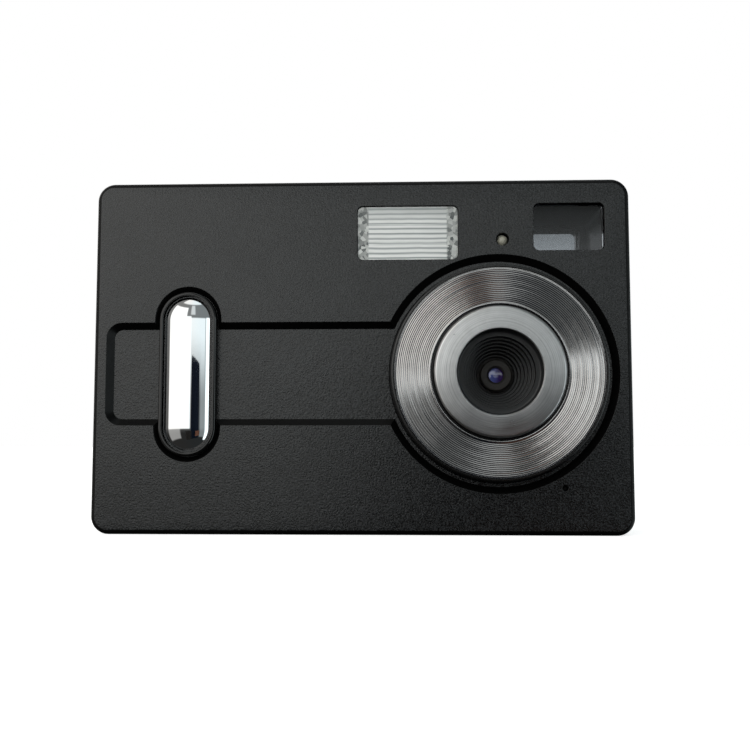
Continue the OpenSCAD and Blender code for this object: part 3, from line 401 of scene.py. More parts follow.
def turned_metal(name, colour, rough, centre, pitch, wave, scratch):
    """Metal faced on a lathe: regular grooves and random fine rings tip the surface in and out."""
    shader = Shader(name, metallic=1.0)
    x, y, z = shader.parts(shader.place)
    dx = x - centre.x
    dz = z - centre.z
    radius = (dx * dx + dz * dz).root()
    grooves = (radius * (FULL_TURN / pitch)).sine() * wave
    fine = (shader.grain(radius, 0.08 * MM) - 0.5) * (2 * scratch)
    broad = (shader.grain(radius, 0.8 * MM) - 0.5) * scratch
    smear = (shader.noise(3 * MM, detail=3.0) - 0.5) * (scratch * 0.3)
    tip = grooves + fine + broad + smear
    outward = shader.join(dx / radius, 0.0, dz / radius)
    geometry = shader.node("ShaderNodeNewGeometry").out("Normal")
    normal = shader.vector("NORMALIZE", shader.vector("ADD", geometry, shader.scaled(outward, tip)))
    wear = shader.noise(2.5 * MM, detail=5.0, roughness=0.65)
    rings = shader.grain(radius, 0.25 * MM, detail=3.0)
    tone = (wear * 0.4 + rings * 0.6).ramp(0.25, 0.75)
    dull = tuple(c * 0.72 for c in colour)
    shader.set(base_color=shader.mix(tone, dull, colour), roughness=wear * 0.12 + (rough - 0.06))
    return shader.set(normal=normal)


def clear_glass(name, colour, clearness=1.0, ior=1.5, rough=0.0):
    """Clear, tinted or slightly milky glass, with a trace of dust in its gloss."""
    shader = Shader(name, transmission_weight=clearness, ior=ior)
    dust = shader.noise(1.2 * MM, detail=4.0)
    shader.set(base_color=shader.mix(dust, colour, tuple(c * 0.96 for c in colour)))
    return shader.set(roughness=dust.ramp(0.5, 0.9, rough, rough + 0.05))


def coated_lens(name):
    """Dark multicoated glass: a violet coating tint, painted bluer and lighter on the left side as a painted
    reflection.
    """
    shader = Shader(name, specular_ior_level=0.9, coat_weight=0.6, coat_roughness=0.02)
    x, y, z = shader.parts(shader.place)
    # Painted reflection: the colour goes from blue on the left to dark violet on the right.
    across = ((x - LENS.x) / (1.3 * MM)).ramp(-0.6, 0.7)
    shader.set(base_color=shader.mix(across, (0.16, 0.2, 0.62), (0.05, 0.012, 0.16)))
    return shader.set(roughness=shader.noise(1 * MM).ramp(0.3, 0.8, 0.02, 0.08))


def circuit_board(name):
    """Green solder mask over traces, with a scatter of bright pads."""
    shader = Shader(name, specular_ior_level=0.5)
    x, y, z = shader.parts(shader.place)
    wander = shader.noise(5 * MM, detail=2.0)
    traces = ((x + z * 0.5 + wander * (2 * MM)) * (FULL_TURN / (0.9 * MM))).sine() > 0.55
    spots = shader.cells(2.2 * MM)
    pads = spots.out("Distance") < 0.16
    mask = shader.mix(traces, (0.012, 0.09, 0.03), (0.03, 0.17, 0.06))
    shader.set(base_color=shader.mix(pads, mask, (0.75, 0.72, 0.66)))
    shader.set(metallic=pads, roughness=pads * -0.05 + 0.35)
    return shader.bump(traces, 0.02 * MM, 0.6)


def screen_cover(name, picture_low, picture_high):
    """Dark gloss cover: black border, and a slightly lighter field where the picture shows."""
    shader = Shader(name, specular_ior_level=0.5, coat_weight=0.3, coat_roughness=0.03)
    x, y, z = shader.parts(shader.place)
    inside_x = (x > picture_low.x) * (x < picture_high.x)
    inside_z = (z > picture_low.z) * (z < picture_high.z)
    field = inside_x * inside_z
    shader.set(base_color=shader.mix(field, (0.004, 0.004, 0.005), (0.026, 0.03, 0.034)))
    smears = shader.noise(9 * MM, detail=5.0, roughness=0.7)
    return shader.set(roughness=smears.ramp(0.45, 0.8, 0.04, 0.16))


def rubber(name, shade):
    """Soft rubber with fine open pores."""
    shader = Shader(name, specular_ior_level=0.35)
    pores = shader.noise(0.12 * MM, detail=3.0)
    shader.set(base_color=shader.mix(pores, grey(shade), grey(shade * 1.5)))
    shader.set(roughness=pores * 0.15 + 0.62)
    return shader.bump(pores, 0.012 * MM)


def cell_jacket(name):
    """A plain sleeve: a dark blue body and a coppery band near the button end."""
    shader = Shader(name, specular_ior_level=0.6, metallic=0.35)
    x, y, z = shader.parts(shader.place)
    low, high = node_box("battery_left")
    band = ((z - low.z) / (high.z - low.z)) > 0.78
    sheen = shader.noise(2 * MM, detail=3.0)
    dark = shader.mix(sheen, (0.012, 0.03, 0.09), (0.02, 0.045, 0.12))
    shader.set(base_color=shader.mix(band, dark, (0.55, 0.3, 0.12)))
    return shader.set(roughness=sheen * 0.12 + 0.24)


def satin_paint(name, colour, flake=0.12 * MM):
    """Metallic paint: fine flakes in a satin coat."""
    shader = Shader(name, metallic=0.8, coat_weight=0.25, coat_roughness=0.25)
    flakes = shader.noise(flake, detail=2.0)
    shader.set(base_color=shader.mix(flakes, tuple(c * 0.8 for c in colour), colour))
    shader.set(roughness=dusting(shader) * 0.12 + 0.3)
    return shader.bump(flakes, 0.006 * MM, 0.7)


def chrome(name):
    """Bright plating, with hairline scratches and fingerprints that dull it slightly."""
    shader = Shader(name, metallic=1.0)
    prints = shader.noise(3.5 * MM, detail=5.0, roughness=0.7)
    hair = shader.noise(0.5 * MM, detail=6.0)
    shader.set(base_color=shader.mix(prints, (0.93, 0.94, 0.95), (0.86, 0.87, 0.88)))
    shader.set(roughness=prints.ramp(0.5, 0.85, 0.015, 0.07))
    return shader.bump(hair, 0.0015 * MM, 0.4)


def cable_film(name):
    """Amber film over copper tracks."""
    shader = Shader(name, specular_ior_level=0.5)
    x, y, z = shader.parts(shader.place)
    tracks = (x * (FULL_TURN / (0.7 * MM))).sine() > 0.1
    shader.set(base_color=shader.mix(tracks, (0.42, 0.2, 0.03), (0.62, 0.34, 0.08)))
    return shader.set(roughness=shader.noise(1 * MM) * 0.1 + 0.3)


def prism_plastic(name):
    """Clear plastic with painted light: bright and grey stripes along the prisms moulded in its back, painted
    shade towards the top, and crackle at both ends.
    """
    shader = Shader(name, transmission_weight=0.12, ior=1.49, metallic=0.3)
    x, y, z = shader.parts(shader.place)
    low, high = node_box("flash_window")
    middle = (low.x + high.x) / 2
    end = (x - middle).size().ramp((high.x - low.x) * 0.345, (high.x - low.x) * 0.365)
    # Painted shade: the top of the window is painted greyer.
    shade = z.ramp(high.z - 3.4 * MM, high.z - 1.6 * MM, 1.0, 0.62)
    # Painted light: near-white and grey stripes along the ribs stand in for the reflector's light seen
    # through the prisms.
    drift = shader.noise(6 * MM, detail=2.0) * (0.3 * MM)
    broad = ((z + drift) * (FULL_TURN / (0.84 * MM))).sine() * 0.5 + 0.5
    fine = shader.grain(z, 0.2 * MM, detail=2.0)
    stripes = (broad * 0.5 + fine * 0.7).ramp(0.25, 0.75) * shade
    crackle = shader.parts(shader.cells(0.6 * MM).out("Color"))[0]
    tone = shader.mix(end, shader.mix(stripes, (0.36, 0.39, 0.39), (1, 1, 0.98)),
                      shader.mix(crackle, (0.12, 0.13, 0.13), (0.8, 0.81, 0.78)))
    return shader.set(base_color=tone, roughness=crackle * 0.1 + 0.14)


def edge_plastic(name):
    """The same plastic painted near black as painted shade, for the rounded rim and the recess walls."""
    shader = Shader(name, specular_ior_level=0.16)
    wear = shader.noise(1.5 * MM, detail=6.0, roughness=0.75)
    # Painted shade: the colour is near black, with a few lighter worn patches.
    shader.set(base_color=shader.mix(wear.ramp(0.66, 0.78), grey(0.0025), grey(0.03)))
    shader.set(roughness=wear * 0.15 + 0.3)
    return shader.bump(shader.noise(0.5 * MM), 0.004 * MM)


def bright_reflector(name):
    """Polished sheet behind a clear varnish, nearly white where light falls on it."""
    shader = Shader(name, metallic=0.35, coat_weight=0.4, coat_roughness=0.1)
    ripple = shader.noise(0.8 * MM, detail=4.0)
    shader.set(base_color=shader.mix(ripple, (0.9, 0.91, 0.88), (0.98, 0.98, 0.96)))
    shader.set(roughness=ripple * 0.2 + 0.2)
    return shader.bump(ripple, 0.03 * MM)


def lamp_lens(name, colour, clearness):
    """A small moulded lamp lens, lightly frosted."""
    shader = Shader(name, transmission_weight=clearness, ior=1.49)
    frost = shader.noise(0.3 * MM, detail=2.0)
    shader.set(base_color=shader.mix(frost, colour, tuple(min(1, c * 1.2) for c in colour)))
    return shader.set(roughness=frost * 0.15 + 0.1)


picture_low, picture_high = node_box("display_module")
picture_edge = Vector((2.5, 0, 2.75)) * MM

FINISHES = {
    moulded_plastic("case_plastic", 0.018, 0.28, 0.3 * MM, 0.05 * MM, 0.85, -0.08):
        ["front_cover", "rear_cover"],
    moulded_plastic("door_plastic", 0.019, 0.34, 0.4 * MM, 0.06 * MM, 0.6): ["battery_door"],
    edge_plastic("edge_plastic"): [],
    gloss_plastic("gloss_black", 0.004): ["grip_frame"],
    moulded_plastic("drum_black", 0.006, 0.28, 0.12 * MM, 0.004 * MM): ["lens_drum"],
    chrome("grip_chrome"): ["grip_bar"],
    turned_metal("disc_aluminium", (0.53, 0.515, 0.51), 0.15, LENS, 0.4 * MM, 0.08, 0.2): ["trim_disc"],
    turned_metal("ring_aluminium", (0.72, 0.72, 0.72), 0.3, LENS, 0.3 * MM, 0.07, 0.14): ["lens_ring"],
    moulded_plastic("baffle_plastic", 0.012, 0.42, 0.1 * MM, 0.008 * MM, warmth=-0.08):
        ["lens_baffle", "lens_holder", "finder_tunnel", "battery_holder"],
    moulded_plastic("barrel_plastic", 0.032, 0.6, 0.08 * MM, 0.01 * MM, warmth=0.12): ["lens_barrel"],
    coated_lens("front_coating"): ["front_lens"],
    clear_glass("filter_glass", (0.75, 0.9, 0.86)): ["rear_lens", "infrared_filter"],
    clear_glass("finder_glass", (0.36, 0.37, 0.39), rough=0.02): ["finder_front_lens"],
    clear_glass("eyepiece_glass", (0.7, 0.72, 0.74), rough=0.02): ["finder_rear_lens"],
    prism_plastic("flash_plastic"): ["flash_window"],
    clear_glass("tube_glass", (0.98, 0.98, 0.97), ior=1.45): ["flash_tube"],
    bright_reflector("reflector_silver"): ["flash_reflector"],
    lamp_lens("timer_lens", (0.95, 0.9, 0.72), 0.35): ["timer_lamp"],
    lamp_lens("status_lens", (0.25, 0.8, 0.3), 0.7): ["status_lamp"],
    gloss_plastic("capacitor_sleeve", 0.008, 0.2): ["flash_capacitor"],
    circuit_board("board"): ["main_board", "flash_board", "key_board", "top_board"],
    gloss_plastic("sensor_black", 0.01, 0.15): ["image_sensor", "display_module", "microphone"],
    screen_cover("screen_cover", picture_low + picture_edge, picture_high - picture_edge): ["display_window"],
    cable_film("cable_film"): ["display_cable"],
    plain_metal("steel", (0.62, 0.62, 0.64), 0.3):
        ["key_domes", "battery_springs", "door_pin", "usb_socket", "card_socket", "strap_bar", "case_screws"],
    plain_metal("brass", (0.78, 0.58, 0.27), 0.28): ["battery_contacts", "door_contact", "tripod_socket"],
    moulded_plastic("key_plastic", 0.045, 0.36, 0.1 * MM, 0.008 * MM):
        ["key_up", "key_down", "key_left", "key_right", "key_ok", "key_menu", "key_play", "zoom_rocker"],
    satin_paint("button_paint", (0.66, 0.67, 0.69)): ["shutter_button", "power_button"],
    moulded_plastic("switch_plastic", 0.05, 0.4, 0.1 * MM, 0.008 * MM): ["top_switches", "door_lock"],
    cell_jacket("cell_jacket"): ["battery_left", "battery_right"],
    rubber("flap_rubber", 0.014): ["usb_cover"],
}
MATERIALS = {}
for finish, node_names in FINISHES.items():
    MATERIALS[finish.name] = finish.material
    for node_name in node_names:
        for material_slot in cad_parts[node_name].material_slots:
            material_slot.material = finish.material


# ---- the pieces ----

LENS_AXIS = Vector((LENS.x, 0, LENS.z))
GRIP_AXIS = Vector(((GRIP_LOW.x + GRIP_HIGH.x) / 2, 0, (GRIP_LOW.z + GRIP_HIGH.z) / 2))
RING_HOLE_R = 7.15 * MM
FINE = 0.08 * MM


def finish_piece(piece, body, slot, finish, *nodes):
    """Gives a finished piece its material and its body, and hides the nodes that it stands for; slot is not
    used.
    """
    piece.data.materials.clear()
    piece.data.materials.append(MATERIALS[finish])
    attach(piece, body)
    if nodes:
        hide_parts(*nodes)


def paint_shade_faces(piece, finish, test):
    """Gives the faces that pass a test a second finish, which here is always the painted shade."""
    piece.data.materials.append(MATERIALS[finish])
    for face in piece.data.polygons:
        if test(face):
            face.material_index = 1


def make_front_shell():
    """The front cover, with its rounded rim and its recess walls painted near black as painted shade."""
    shell = copied_node("front_cover", "front_shell")
    smooth(shell, 35)
    finish_piece(shell, "case", "body_black", "case_plastic", "front_cover")
    # Painted shade: sloped faces and the recess side walls get the near-black finish.
    paint_shade_faces(shell, "edge_plastic",
                 lambda face: 0.06 < abs(face.normal.y) < 0.985 or (face.center.y < FACE_Y + 2 * MM and
                 abs(face.normal.y) <= 0.06 and is_inside_rim(face.center)))


def is_inside_rim(point):
    """Whether a point lies inside the front's outline, clear of its rim."""
    margin = 1 * MM
    return (COVER_LOW.x + margin < point.x < COVER_HIGH.x - margin
            and COVER_LOW.z + margin < point.z < COVER_HIGH.z - margin)


def stretched(name, profile, centre, half_straight):
    """A turned shape split across the middle and drawn out along Z, by extruding each half's open rim."""
    piece = lathe(name, profile, centre, steps=96)
    edit(piece)
    bpy.ops.mesh.bisect(plane_co=centre, plane_no=(0, 0, 1), clear_inner=True, threshold=FINE / 1000)
    bpy.ops.mesh.select_all(action="SELECT")
    bpy.ops.transform.translate(value=(0, 0, half_straight))
    rim_z = centre.z + half_straight
    select_where(piece, lambda e: e.is_boundary and abs(edge_middle(e).z - rim_z) < FINE / 10, "EDGE")
    bpy.ops.mesh.extrude_edges_move(TRANSFORM_OT_translate={"value": (0, 0, -half_straight)})
    bpy.ops.mesh.select_all(action="SELECT")
    bpy.ops.mesh.duplicate()
    bpy.ops.transform.resize(value=(1, 1, -1), center_override=centre)
    leave_edit()
    tidy_mesh(piece)
    smooth(piece)
    return piece


def make_turned_disc():
    """The trim disc, with turned grooves between its two plain rims."""
    front, back = DISC_LOW.y, DISC_HIGH.y
    hole = RING_R + 0.25 * MM
    rim = 0.35 * MM
    groove_depth = 0.052 * MM
    count = 18
    pitch = (DISC_R - hole - 2 * rim) / count
    profile = [(hole, back), (hole, front + FINE), (hole + FINE, front)]
    for i in range(count):
        start = hole + rim + i * pitch
        profile += [(start, front), (start + pitch * 0.5, front + groove_depth)]
    profile += [(DISC_R - rim, front), (DISC_R - FINE, front), (DISC_R, front + FINE), (DISC_R, back)]
    disc = lathe("turned_disc", profile, LENS_AXIS, steps=256)
    finish_piece(disc, "case", "turned_aluminium", "disc_aluminium", "trim_disc")


def make_ring():
    """The inner ring: a faced front, a polished chamfer, and a tapered side painted near black as painted
    shade.
    """
    front, back = RING_LOW.y, RING_HIGH.y
    side_r = RING_R - 0.3 * MM
    chamfer = 0.28 * MM
    wall = 0.95 * MM
    lip = 0.5 * MM
    foot = front + 1.15 * MM
    taper = 0.12 * MM
    profile = [(RING_HOLE_R + wall, back), (RING_R, back), (RING_R, foot), (side_r + taper, front + chamfer)]
    profile += arc((side_r - chamfer, front + chamfer), chamfer, 0, -90, 4)[1:]
    inner_chamfer = 0.14 * MM
    profile += [(RING_HOLE_R + inner_chamfer, front), (RING_HOLE_R, front + inner_chamfer),
                (RING_HOLE_R, front + lip), (RING_HOLE_R + wall, front + lip)]
    ring = lathe("faced_ring", profile, LENS_AXIS, steps=256)
    finish_piece(ring, "case", "ring_metal", "ring_aluminium", "lens_ring")
    # Painted shade: the tapered side and the foot behind the chamfer get the near-black finish.
    paint_shade_faces(ring, "edge_plastic", lambda face: face.center.y > front + 1.5 * chamfer
                 and (face.center - LENS_AXIS).xz.length > side_r)


def make_baffle():
    """The stepped baffle: a plain lip, then rounded ridges down to the barrel's nose."""
    front, back = BAFFLE_LOW.y, BAFFLE_HIGH.y
    outer_r = (BAFFLE_HIGH.x - BAFFLE_LOW.x) / 2
    shell_r = outer_r - 1.4 * MM
    nose_wall = 1.2 * MM
    plate_y = front + 1.95 * MM
    plate_back = plate_y + 0.75 * MM
    nose_y = back - 0.5 * MM
    well_y = front + 1.5 * MM
    top_r, low_r = 6.05 * MM, 3.3 * MM
    ridges = 6
    lip_round = 0.3 * MM
    profile = [(RING_HOLE_R - 0.02 * MM, front), (RING_HOLE_R - 0.15 * MM, well_y - lip_round)]
    profile += arc((RING_HOLE_R - 0.5 * MM, well_y - lip_round), lip_round, 0, 90, 4)[1:]
    profile.append((top_r, well_y))
    step_r = (top_r - low_r) / ridges
    step_y = (back - 0.6 * MM - well_y) / ridges
    for i in range(ridges):
        r, y = top_r - i * step_r, well_y + i * step_y
        profile += [(r - 0.04 * MM, y + step_y * 0.08), (r - 0.04 * MM, y + step_y * 0.94),
                    (r - step_r * 0.3, y + step_y), (r - step_r * 0.85, y + step_y)]
    profile += [(low_r - 0.06 * MM, nose_y), (low_r, back), (low_r + nose_wall, back),
                (low_r + nose_wall, nose_y), (shell_r, plate_back), (outer_r, plate_back),
                (outer_r, plate_y), (shell_r, plate_y), (shell_r, front)]
    baffle = lathe("ridged_baffle", profile, LENS_AXIS)
    finish_piece(baffle, "case", "baffle_black", "baffle_plastic", "lens_baffle")
    # Painted shadow: the steep risers between the ridges get the near-black finish.
    paint_shade_faces(baffle, "edge_plastic",
                 lambda face: abs(face.normal.y) < 0.6 and well_y < face.center.y < nose_y)


def make_grip():
    """The bright bar: a pillow with round ends on a short foot, in its glossy frame."""
    half_w = (GRIP_HIGH.x - GRIP_LOW.x) / 2
    half_straight = (GRIP_HIGH.z - GRIP_LOW.z) / 2 - half_w
    front = GRIP_LOW.y
    foot = FRAME_HIGH.y - 0.5 * MM
    edge = 0.3 * MM
    dome = foot - edge - front
    dome_r = (half_w ** 2 + dome ** 2) / (2 * dome)
    rim_angle = math.degrees(math.asin(half_w / dome_r))
    profile = [(0, foot), (half_w - 0.02 * MM, foot), (half_w, foot - 0.02 * MM)]
    profile += arc((0, front + dome_r), dome_r, rim_angle - 90, -90, 28)
    bar = stretched("pillow_bar", profile, GRIP_AXIS, half_straight)
    smooth(bar, 50)
    finish_piece(bar, "case", "grip_chrome", "grip_chrome", "grip_bar")

    frame_r = (FRAME_HIGH.x - FRAME_LOW.x) / 2
    hole_r = half_w + 0.1 * MM
    crest = FRAME_LOW.y
    base = FRAME_HIGH.y
    round_out, round_in = 0.4 * MM, 0.12 * MM
    profile = [(0, base), (frame_r, base)]
    profile += arc((frame_r - round_out, crest + round_out), round_out, 0, -90, 6)
    profile += arc((hole_r + round_in, crest + round_in), round_in, -90, -180, 3)
    profile += [(hole_r, foot), (0, foot)]
    ring = stretched("grip_surround", profile, GRIP_AXIS, half_straight)
    finish_piece(ring, "case", "gloss_black", "gloss_black", "grip_frame")


def make_drum():
    """The lens drum: a rounded black rim with a fine groove low on its side."""
    flange = 0.6 * MM
    wall = 1.4 * MM
    floor_t = 0.8 * MM
    draft = 0.26 * MM
    drum_r = (DRUM_HIGH.x - DRUM_LOW.x) / 2 - flange
    front, back = DRUM_LOW.y, DRUM_HIGH.y
    seat_r = DISC_R + 0.05 * MM
    flange_y = back - 0.85 * MM
    rim = 0.3 * MM
    inner_r = RING_HOLE_R + 1.05 * MM
    plate = DISC_HIGH.y
    profile = [(drum_r - wall, back), (drum_r + flange, back), (drum_r + flange, flange_y),
               (drum_r, flange_y), (drum_r, FACE_Y + 0.9 * MM), (drum_r - 0.2 * MM, FACE_Y + 0.2 * MM),
               (drum_r - 0.3 * MM, FACE_Y + 0.05 * MM), (drum_r - 0.2 * MM, FACE_Y - 0.1 * MM),
               (drum_r - draft, front + rim)]
    profile += arc((drum_r - draft - rim, front + rim), rim, 0, -90, 5)[1:]
    profile += [(seat_r, front), (seat_r, plate), (inner_r, plate), (inner_r, plate + floor_t),
                (drum_r - wall, plate + floor_t)]
    finish_piece(lathe("drum_shell", profile, LENS_AXIS), "case", "gloss_black", "drum_black", "lens_drum")


def make_flash_window():
    """A clear block with a flat front and a ribbed back, and two crackled ends."""
    low, high = node_box("flash_window")
    flange_back = high.y
    flange = 0.9 * MM
    left, right = low.x + flange, high.x - flange
    bottom, top = low.z + flange, high.z - flange
    front = low.y
    round_r = 0.9 * MM
    end_w = 1.1 * MM

    ribs = 9
    pitch = (top - bottom - 2 * FINE) / ribs
    rib_depth = 0.3 * MM
    back = flange_back - rib_depth
    section = [(front, bottom), (front, top), (back, top)]
    for i in range(ribs):
        z = top - FINE - (i + 0.5) * pitch
        section += [(back + rib_depth * d, z + pitch / 2 * s) for d, s in arc((0, 0), 1, 80, -80, 6)]
    section.append((back, bottom))
    points = [Vector((left, y, z)) for y, z in section]
    block = start_piece("flash_pane", bpy.ops.mesh.primitive_plane_add, size=MM, location=points[0])
    edit(block)
    bpy.ops.mesh.merge(type="CENTER")
    at = points[0]
    for point in points[1:] + points[:1]:
        bpy.ops.mesh.extrude_vertices_move(TRANSFORM_OT_translate={"value": point - at})
        at = point
    bpy.ops.mesh.select_all(action="SELECT")
    bpy.ops.mesh.remove_doubles(threshold=0.002 * MM)
    bpy.ops.mesh.edge_face_add()
    for width in (end_w, right - left - 2 * end_w, end_w):
        bpy.ops.mesh.extrude_region_move(TRANSFORM_OT_translate={"value": (width, 0, 0)})
    bpy.ops.mesh.select_all(action="SELECT")
    bpy.ops.mesh.normals_make_consistent(inside=False)

    def is_end_back(vertex):
        near_end = min(vertex.co.x - left, right - vertex.co.x) < end_w * 0.9
        return near_end and vertex.co.y > back - FINE and bottom + FINE < vertex.co.z < top - FINE

    crackle_depth = 0.25 * MM
    select_where(block, is_end_back, "VERT")
    bpy.ops.transform.vertex_random(offset=crackle_depth, seed=5)
    select_where(block, lambda e: abs(edge_middle(e).y - (front + back) / 2) < FINE
                 and min(abs(edge_middle(e).x - left), abs(edge_middle(e).x - right)) < FINE
                 and min(abs(edge_middle(e).z - bottom), abs(edge_middle(e).z - top)) < FINE, "EDGE")
    bpy.ops.mesh.bevel(offset=round_r, segments=5)
    leave_edit()
    tidy_mesh(block)
    smooth(block, 25)
    finish_piece(block, "case", "clear_plastic", "flash_plastic", "flash_window")


def make_flash_reflector():
    """A bright trough with closed ends, as wide as the flash window, behind the tube."""
    low, high = node_box("flash_reflector")
    tube_low, tube_high = node_box("flash_tube")
    depth = high.y - low.y - 0.4 * MM
    half_h = (high.z - low.z) / 2
    middle = (low.z + high.z) / 2
    overhang = 0.4 * MM
    width = tube_high.x - tube_low.x + 2 * overhang
    section = [Vector((tube_low.x - overhang, low.y + depth * (1 - s * s), middle + half_h * s))
               for s in [i / 12 - 1 for i in range(25)]]
    trough = start_piece("flash_trough", bpy.ops.mesh.primitive_plane_add, size=MM, location=section[0])
    edit(trough)
    bpy.ops.mesh.merge(type="CENTER")
    for start, end in zip(section, section[1:] + section[:1]):
        bpy.ops.mesh.extrude_vertices_move(TRANSFORM_OT_translate={"value": end - start})
    bpy.ops.mesh.select_all(action="SELECT")
    bpy.ops.mesh.remove_doubles(threshold=0.002 * MM)
    bpy.ops.mesh.edge_face_add()
    bpy.ops.mesh.extrude_region_move(TRANSFORM_OT_translate={"value": (width, 0, 0)})
    bpy.ops.mesh.select_all(action="SELECT")
    bpy.ops.mesh.normals_make_consistent(inside=False)
    select_where(trough, lambda face: face.normal.y < -0.99 and face.calc_center_median().y < low.y + FINE)
    bpy.ops.mesh.delete(type="ONLY_FACE")
    leave_edit()
    apply_modifier(trough, "SOLIDIFY", thickness=0.3 * MM, offset=1.0, use_even_offset=False)
    tidy_mesh(trough)
    smooth(trough, 30)
    finish_piece(trough, "case", "reflector_silver", "reflector_silver", "flash_reflector")


def make_shutter_button(name, node, dish_depth):
    """A round top button: rounded rim, slightly hollow top, flange and stem."""
    low, high = node_box(node)
    centre = (low + high) / 2
    axis = Vector((centre.x, centre.y, 0))
    flange_r = (high.x - low.x) / 2
    button_r = flange_r - 0.7 * MM
    top = high.z
    rim = 0.4 * MM
    flange_top = CASE_TOP - 1.7 * MM
    flange_low = flange_top - 0.8 * MM
    stem_r = 1 * MM
    profile = [(0, low.z), (stem_r, low.z), (stem_r, flange_low), (flange_r, flange_low),
               (flange_r, flange_top), (button_r, flange_top)]
    profile += arc((button_r - rim, top - rim), rim, 0, 90, 6)
    inner = button_r - rim - 0.3 * MM
    steps = 8
    for i in range(steps + 1):
        out = 1 - i / steps
        profile.append((inner * out, top - dish_depth * (1 - out ** 2)))
    button = lathe(name, profile, axis, steps=128, upright=True)
    finish_piece(button, node, "button_silver", "button_paint", node)


SOFTENED = [(key, key, "key_grey", "key_plastic", 0.14) for key in
            ["key_up", "key_down", "key_left", "key_right", "key_ok", "key_menu", "key_play", "zoom_rocker"]]
SOFTENED += [("battery_door", "battery_door", "case_black", "door_plastic", 0.1),
             ("door_lock", "door_lock", "switch_grey", "switch_plastic", 0.06),
             ("usb_cover", "usb_cover", "flap_rubber", "flap_rubber", 0.18),
             ("display_window", "case", "screen_window", "screen_cover", 0.12)]


def soften_nodes():
    """The keys and flaps: copies of their solids with their edges rounded."""
    for node, body, slot, finish, width in SOFTENED:
        piece = copied_node(node, node.replace("key_", "soft_key_") + "_soft")
        soften(piece, width * MM, segments=3, angle=40)
        smooth(piece, 35)
        finish_piece(piece, body, slot, finish, node)


def make_tripod_insert():
    """The threaded brass insert."""
    low, high = node_box("tripod_socket")
    axis = Vector(((low.x + high.x) / 2, (low.y + high.y) / 2, 0))
    outer_r = (high.x - low.x) / 2
    crest_r, root_r = 2.6 * MM, 3.1 * MM
    floor_z = high.z - 1 * MM
    pitch = 1.27 * MM
    profile = [(0, high.z), (outer_r, high.z), (outer_r, low.z), (root_r, low.z)]
    crest_w, root_w = 0.15 * MM, 0.1 * MM
    z = low.z + 0.3 * MM
    while z + pitch < floor_z:
        profile += [(crest_r, z), (crest_r, z + crest_w),
                    (root_r, z + pitch / 2), (root_r, z + pitch / 2 + root_w)]
        z += pitch
    profile += [(crest_r, z), (crest_r, floor_z), (0, floor_z)]
    insert = lathe("threaded_insert", profile, axis, steps=96, upright=True)
    finish_piece(insert, "case", "contact_brass", "brass", "tripod_socket")


make_front_shell()
make_turned_disc()
make_ring()
make_baffle()
make_grip()
make_drum()
make_flash_window()
make_flash_reflector()
make_shutter_button("hollow_button", "shutter_button", 0.35 * MM)
make_shutter_button("small_button", "power_button", 0.12 * MM)
soften_nodes()
make_tripod_insert()


# ---- the view, the light and the floor ----

CAMERA_AT = Vector((8.1, -162.3, 15.0)) * MM
CAMERA_AIM = Vector((2.5, -10.5, 26.7)) * MM
SENSOR_WIDTH = 36
FOCAL_LENGTH = 43.5

# Soft boxes in the sky: from and to, sideways and then upwards, in degrees, and their strength.
SOFT_BOXES = [
    (-76, -12, -3, 48, 1.2),
    (-12, 4, -3, 18, 1.2),
    (-76, -30, -34, -3, 0.3),
    (4, 54, 5, 13, 0.9),
    (2, 18, 24, 58, 0.5),
    (38, 57, -30, 5, 0.2),
    (57, 76, -38, 14, 1.9),
    (-60, 60, 62, 88, 0.8),
]
BOX_EDGE = 3
ROOM_LIGHT = 0.22
WARM = (1.0, 0.985, 0.95)
COOL = (0.88, 0.98, 1.0)


def aim(thing, target):
    """Turns a thing so that it looks at a point."""
    thing.rotation_euler = (target - thing.location).to_track_quat("-Z", "Y").to_euler()


def make_camera():
    """A camera low in front of the case, a little to its right."""
    camera_data = bpy.data.cameras.new("camera")
    camera_data.lens = FOCAL_LENGTH
    camera_data.sensor_width = SENSOR_WIDTH
    camera_data.clip_start = 5 * MM
    camera_data.clip_end = 100
    camera = bpy.data.objects.new("camera", camera_data)
    bpy.context.scene.collection.objects.link(camera)
    camera.location = CAMERA_AT
    aim(camera, CAMERA_AIM)
    bpy.context.scene.camera = camera


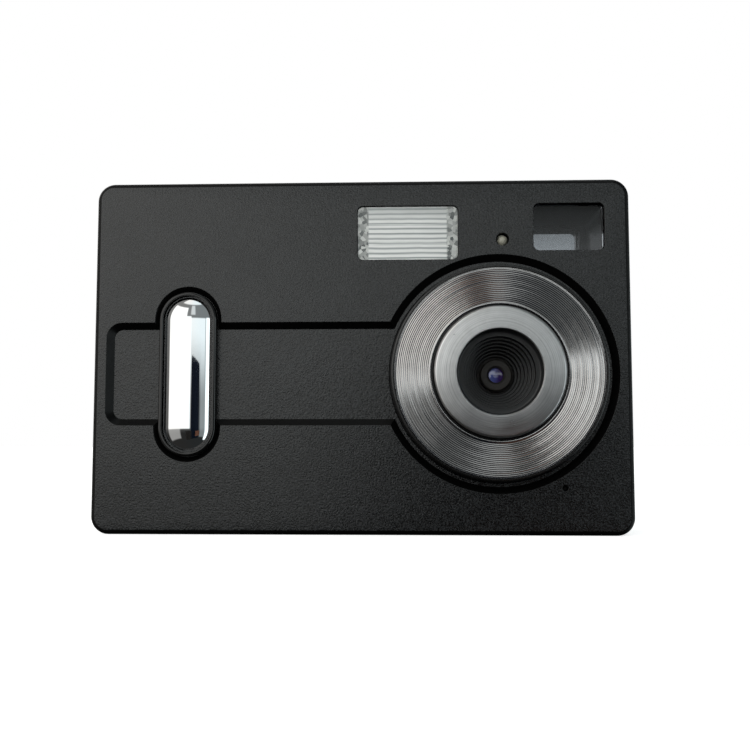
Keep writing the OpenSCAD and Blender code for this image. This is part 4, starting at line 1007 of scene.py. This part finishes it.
def make_floor():
    """A pale lit table top that shows plain white, and throws no light back on the object."""
    floor = start_piece("floor", bpy.ops.mesh.primitive_grid_add, x_subdivisions=8, y_subdivisions=8, size=12)
    shader = Shader("floor_paper", roughness=0.9, specular_ior_level=0.1, emission_strength=0.8)
    fibre = shader.noise(2 * MM, detail=3.0)
    paper = shader.mix(fibre, grey(0.9), grey(0.94))
    shader.set(base_color=paper, emission_color=paper)
    floor.data.materials.append(shader.material)
    floor.visible_diffuse = False
    floor.visible_glossy = False
    floor.visible_transmission = False


def make_card(name, middle, size, dark, light):
    """A card behind the camera that only shows in the object's bright metal and on its dark face."""
    card = start_piece(name, bpy.ops.mesh.primitive_cube_add, size=1,
                       location=Vector(middle) * MM, scale=Vector(size) * MM)
    soften(card, 3.5 * MM, segments=4)
    shader = Shader(name, specular_ior_level=0.2)
    shader.set(base_color=shader.mix(shader.noise(20 * MM), dark, light))
    shader.set(roughness=shader.noise(9 * MM) * 0.2 + 0.5)
    card.data.materials.append(shader.material)
    card.visible_camera = False


def make_world():
    """White to the camera; to the object, a dim room with soft boxes, the same behind as in front."""
    world = bpy.data.worlds.new("studio")
    bpy.context.scene.world = world
    world.use_nodes = True
    graph = Graph(world.node_tree)
    across, depth, up = graph.parts(graph.node("ShaderNodeTexCoord").out("Generated"))
    sideways = across.math("ARCTAN2", depth.size()) * math.degrees(1)
    upwards = up.math("ARCSINE") * math.degrees(1)
    light = upwards.ramp(-20, 24, ROOM_LIGHT / 10, ROOM_LIGHT)
    edge = BOX_EDGE
    for left, right, low, high, strength in SOFT_BOXES:
        box = sideways.ramp(left - edge, left + edge) * sideways.ramp(right + edge, right - edge)
        box = box * upwards.ramp(low - edge, low + edge) * upwards.ramp(high + edge, high - edge)
        light = light + box * strength
    seen = graph.node("ShaderNodeLightPath").out("Is Camera Ray")
    background = world.node_tree.nodes["Background"]
    tint = graph.mix(sideways.ramp(-50, 50), WARM, COOL)
    graph.feed(background.inputs["Color"], graph.mix(seen, tint, (1, 1, 1)))
    graph.feed(background.inputs["Strength"], light * (1 - seen) + seen)


make_camera()
make_world()
make_floor()
make_card("dark_card", (37, -172, -32), (90, 8, 156), (0.001, 0.004, 0.012), (0.004, 0.012, 0.03))
make_card("low_card", (-30, -170, -66), (60, 8, 110), (0.02, 0.018, 0.018), (0.035, 0.03, 0.028))
make_card("brown_card", (62, -162, -44), (50, 8, 60), (0.2, 0.08, 0.05), (0.3, 0.14, 0.09))
bpy.context.scene.view_settings.view_transform = "Standard"
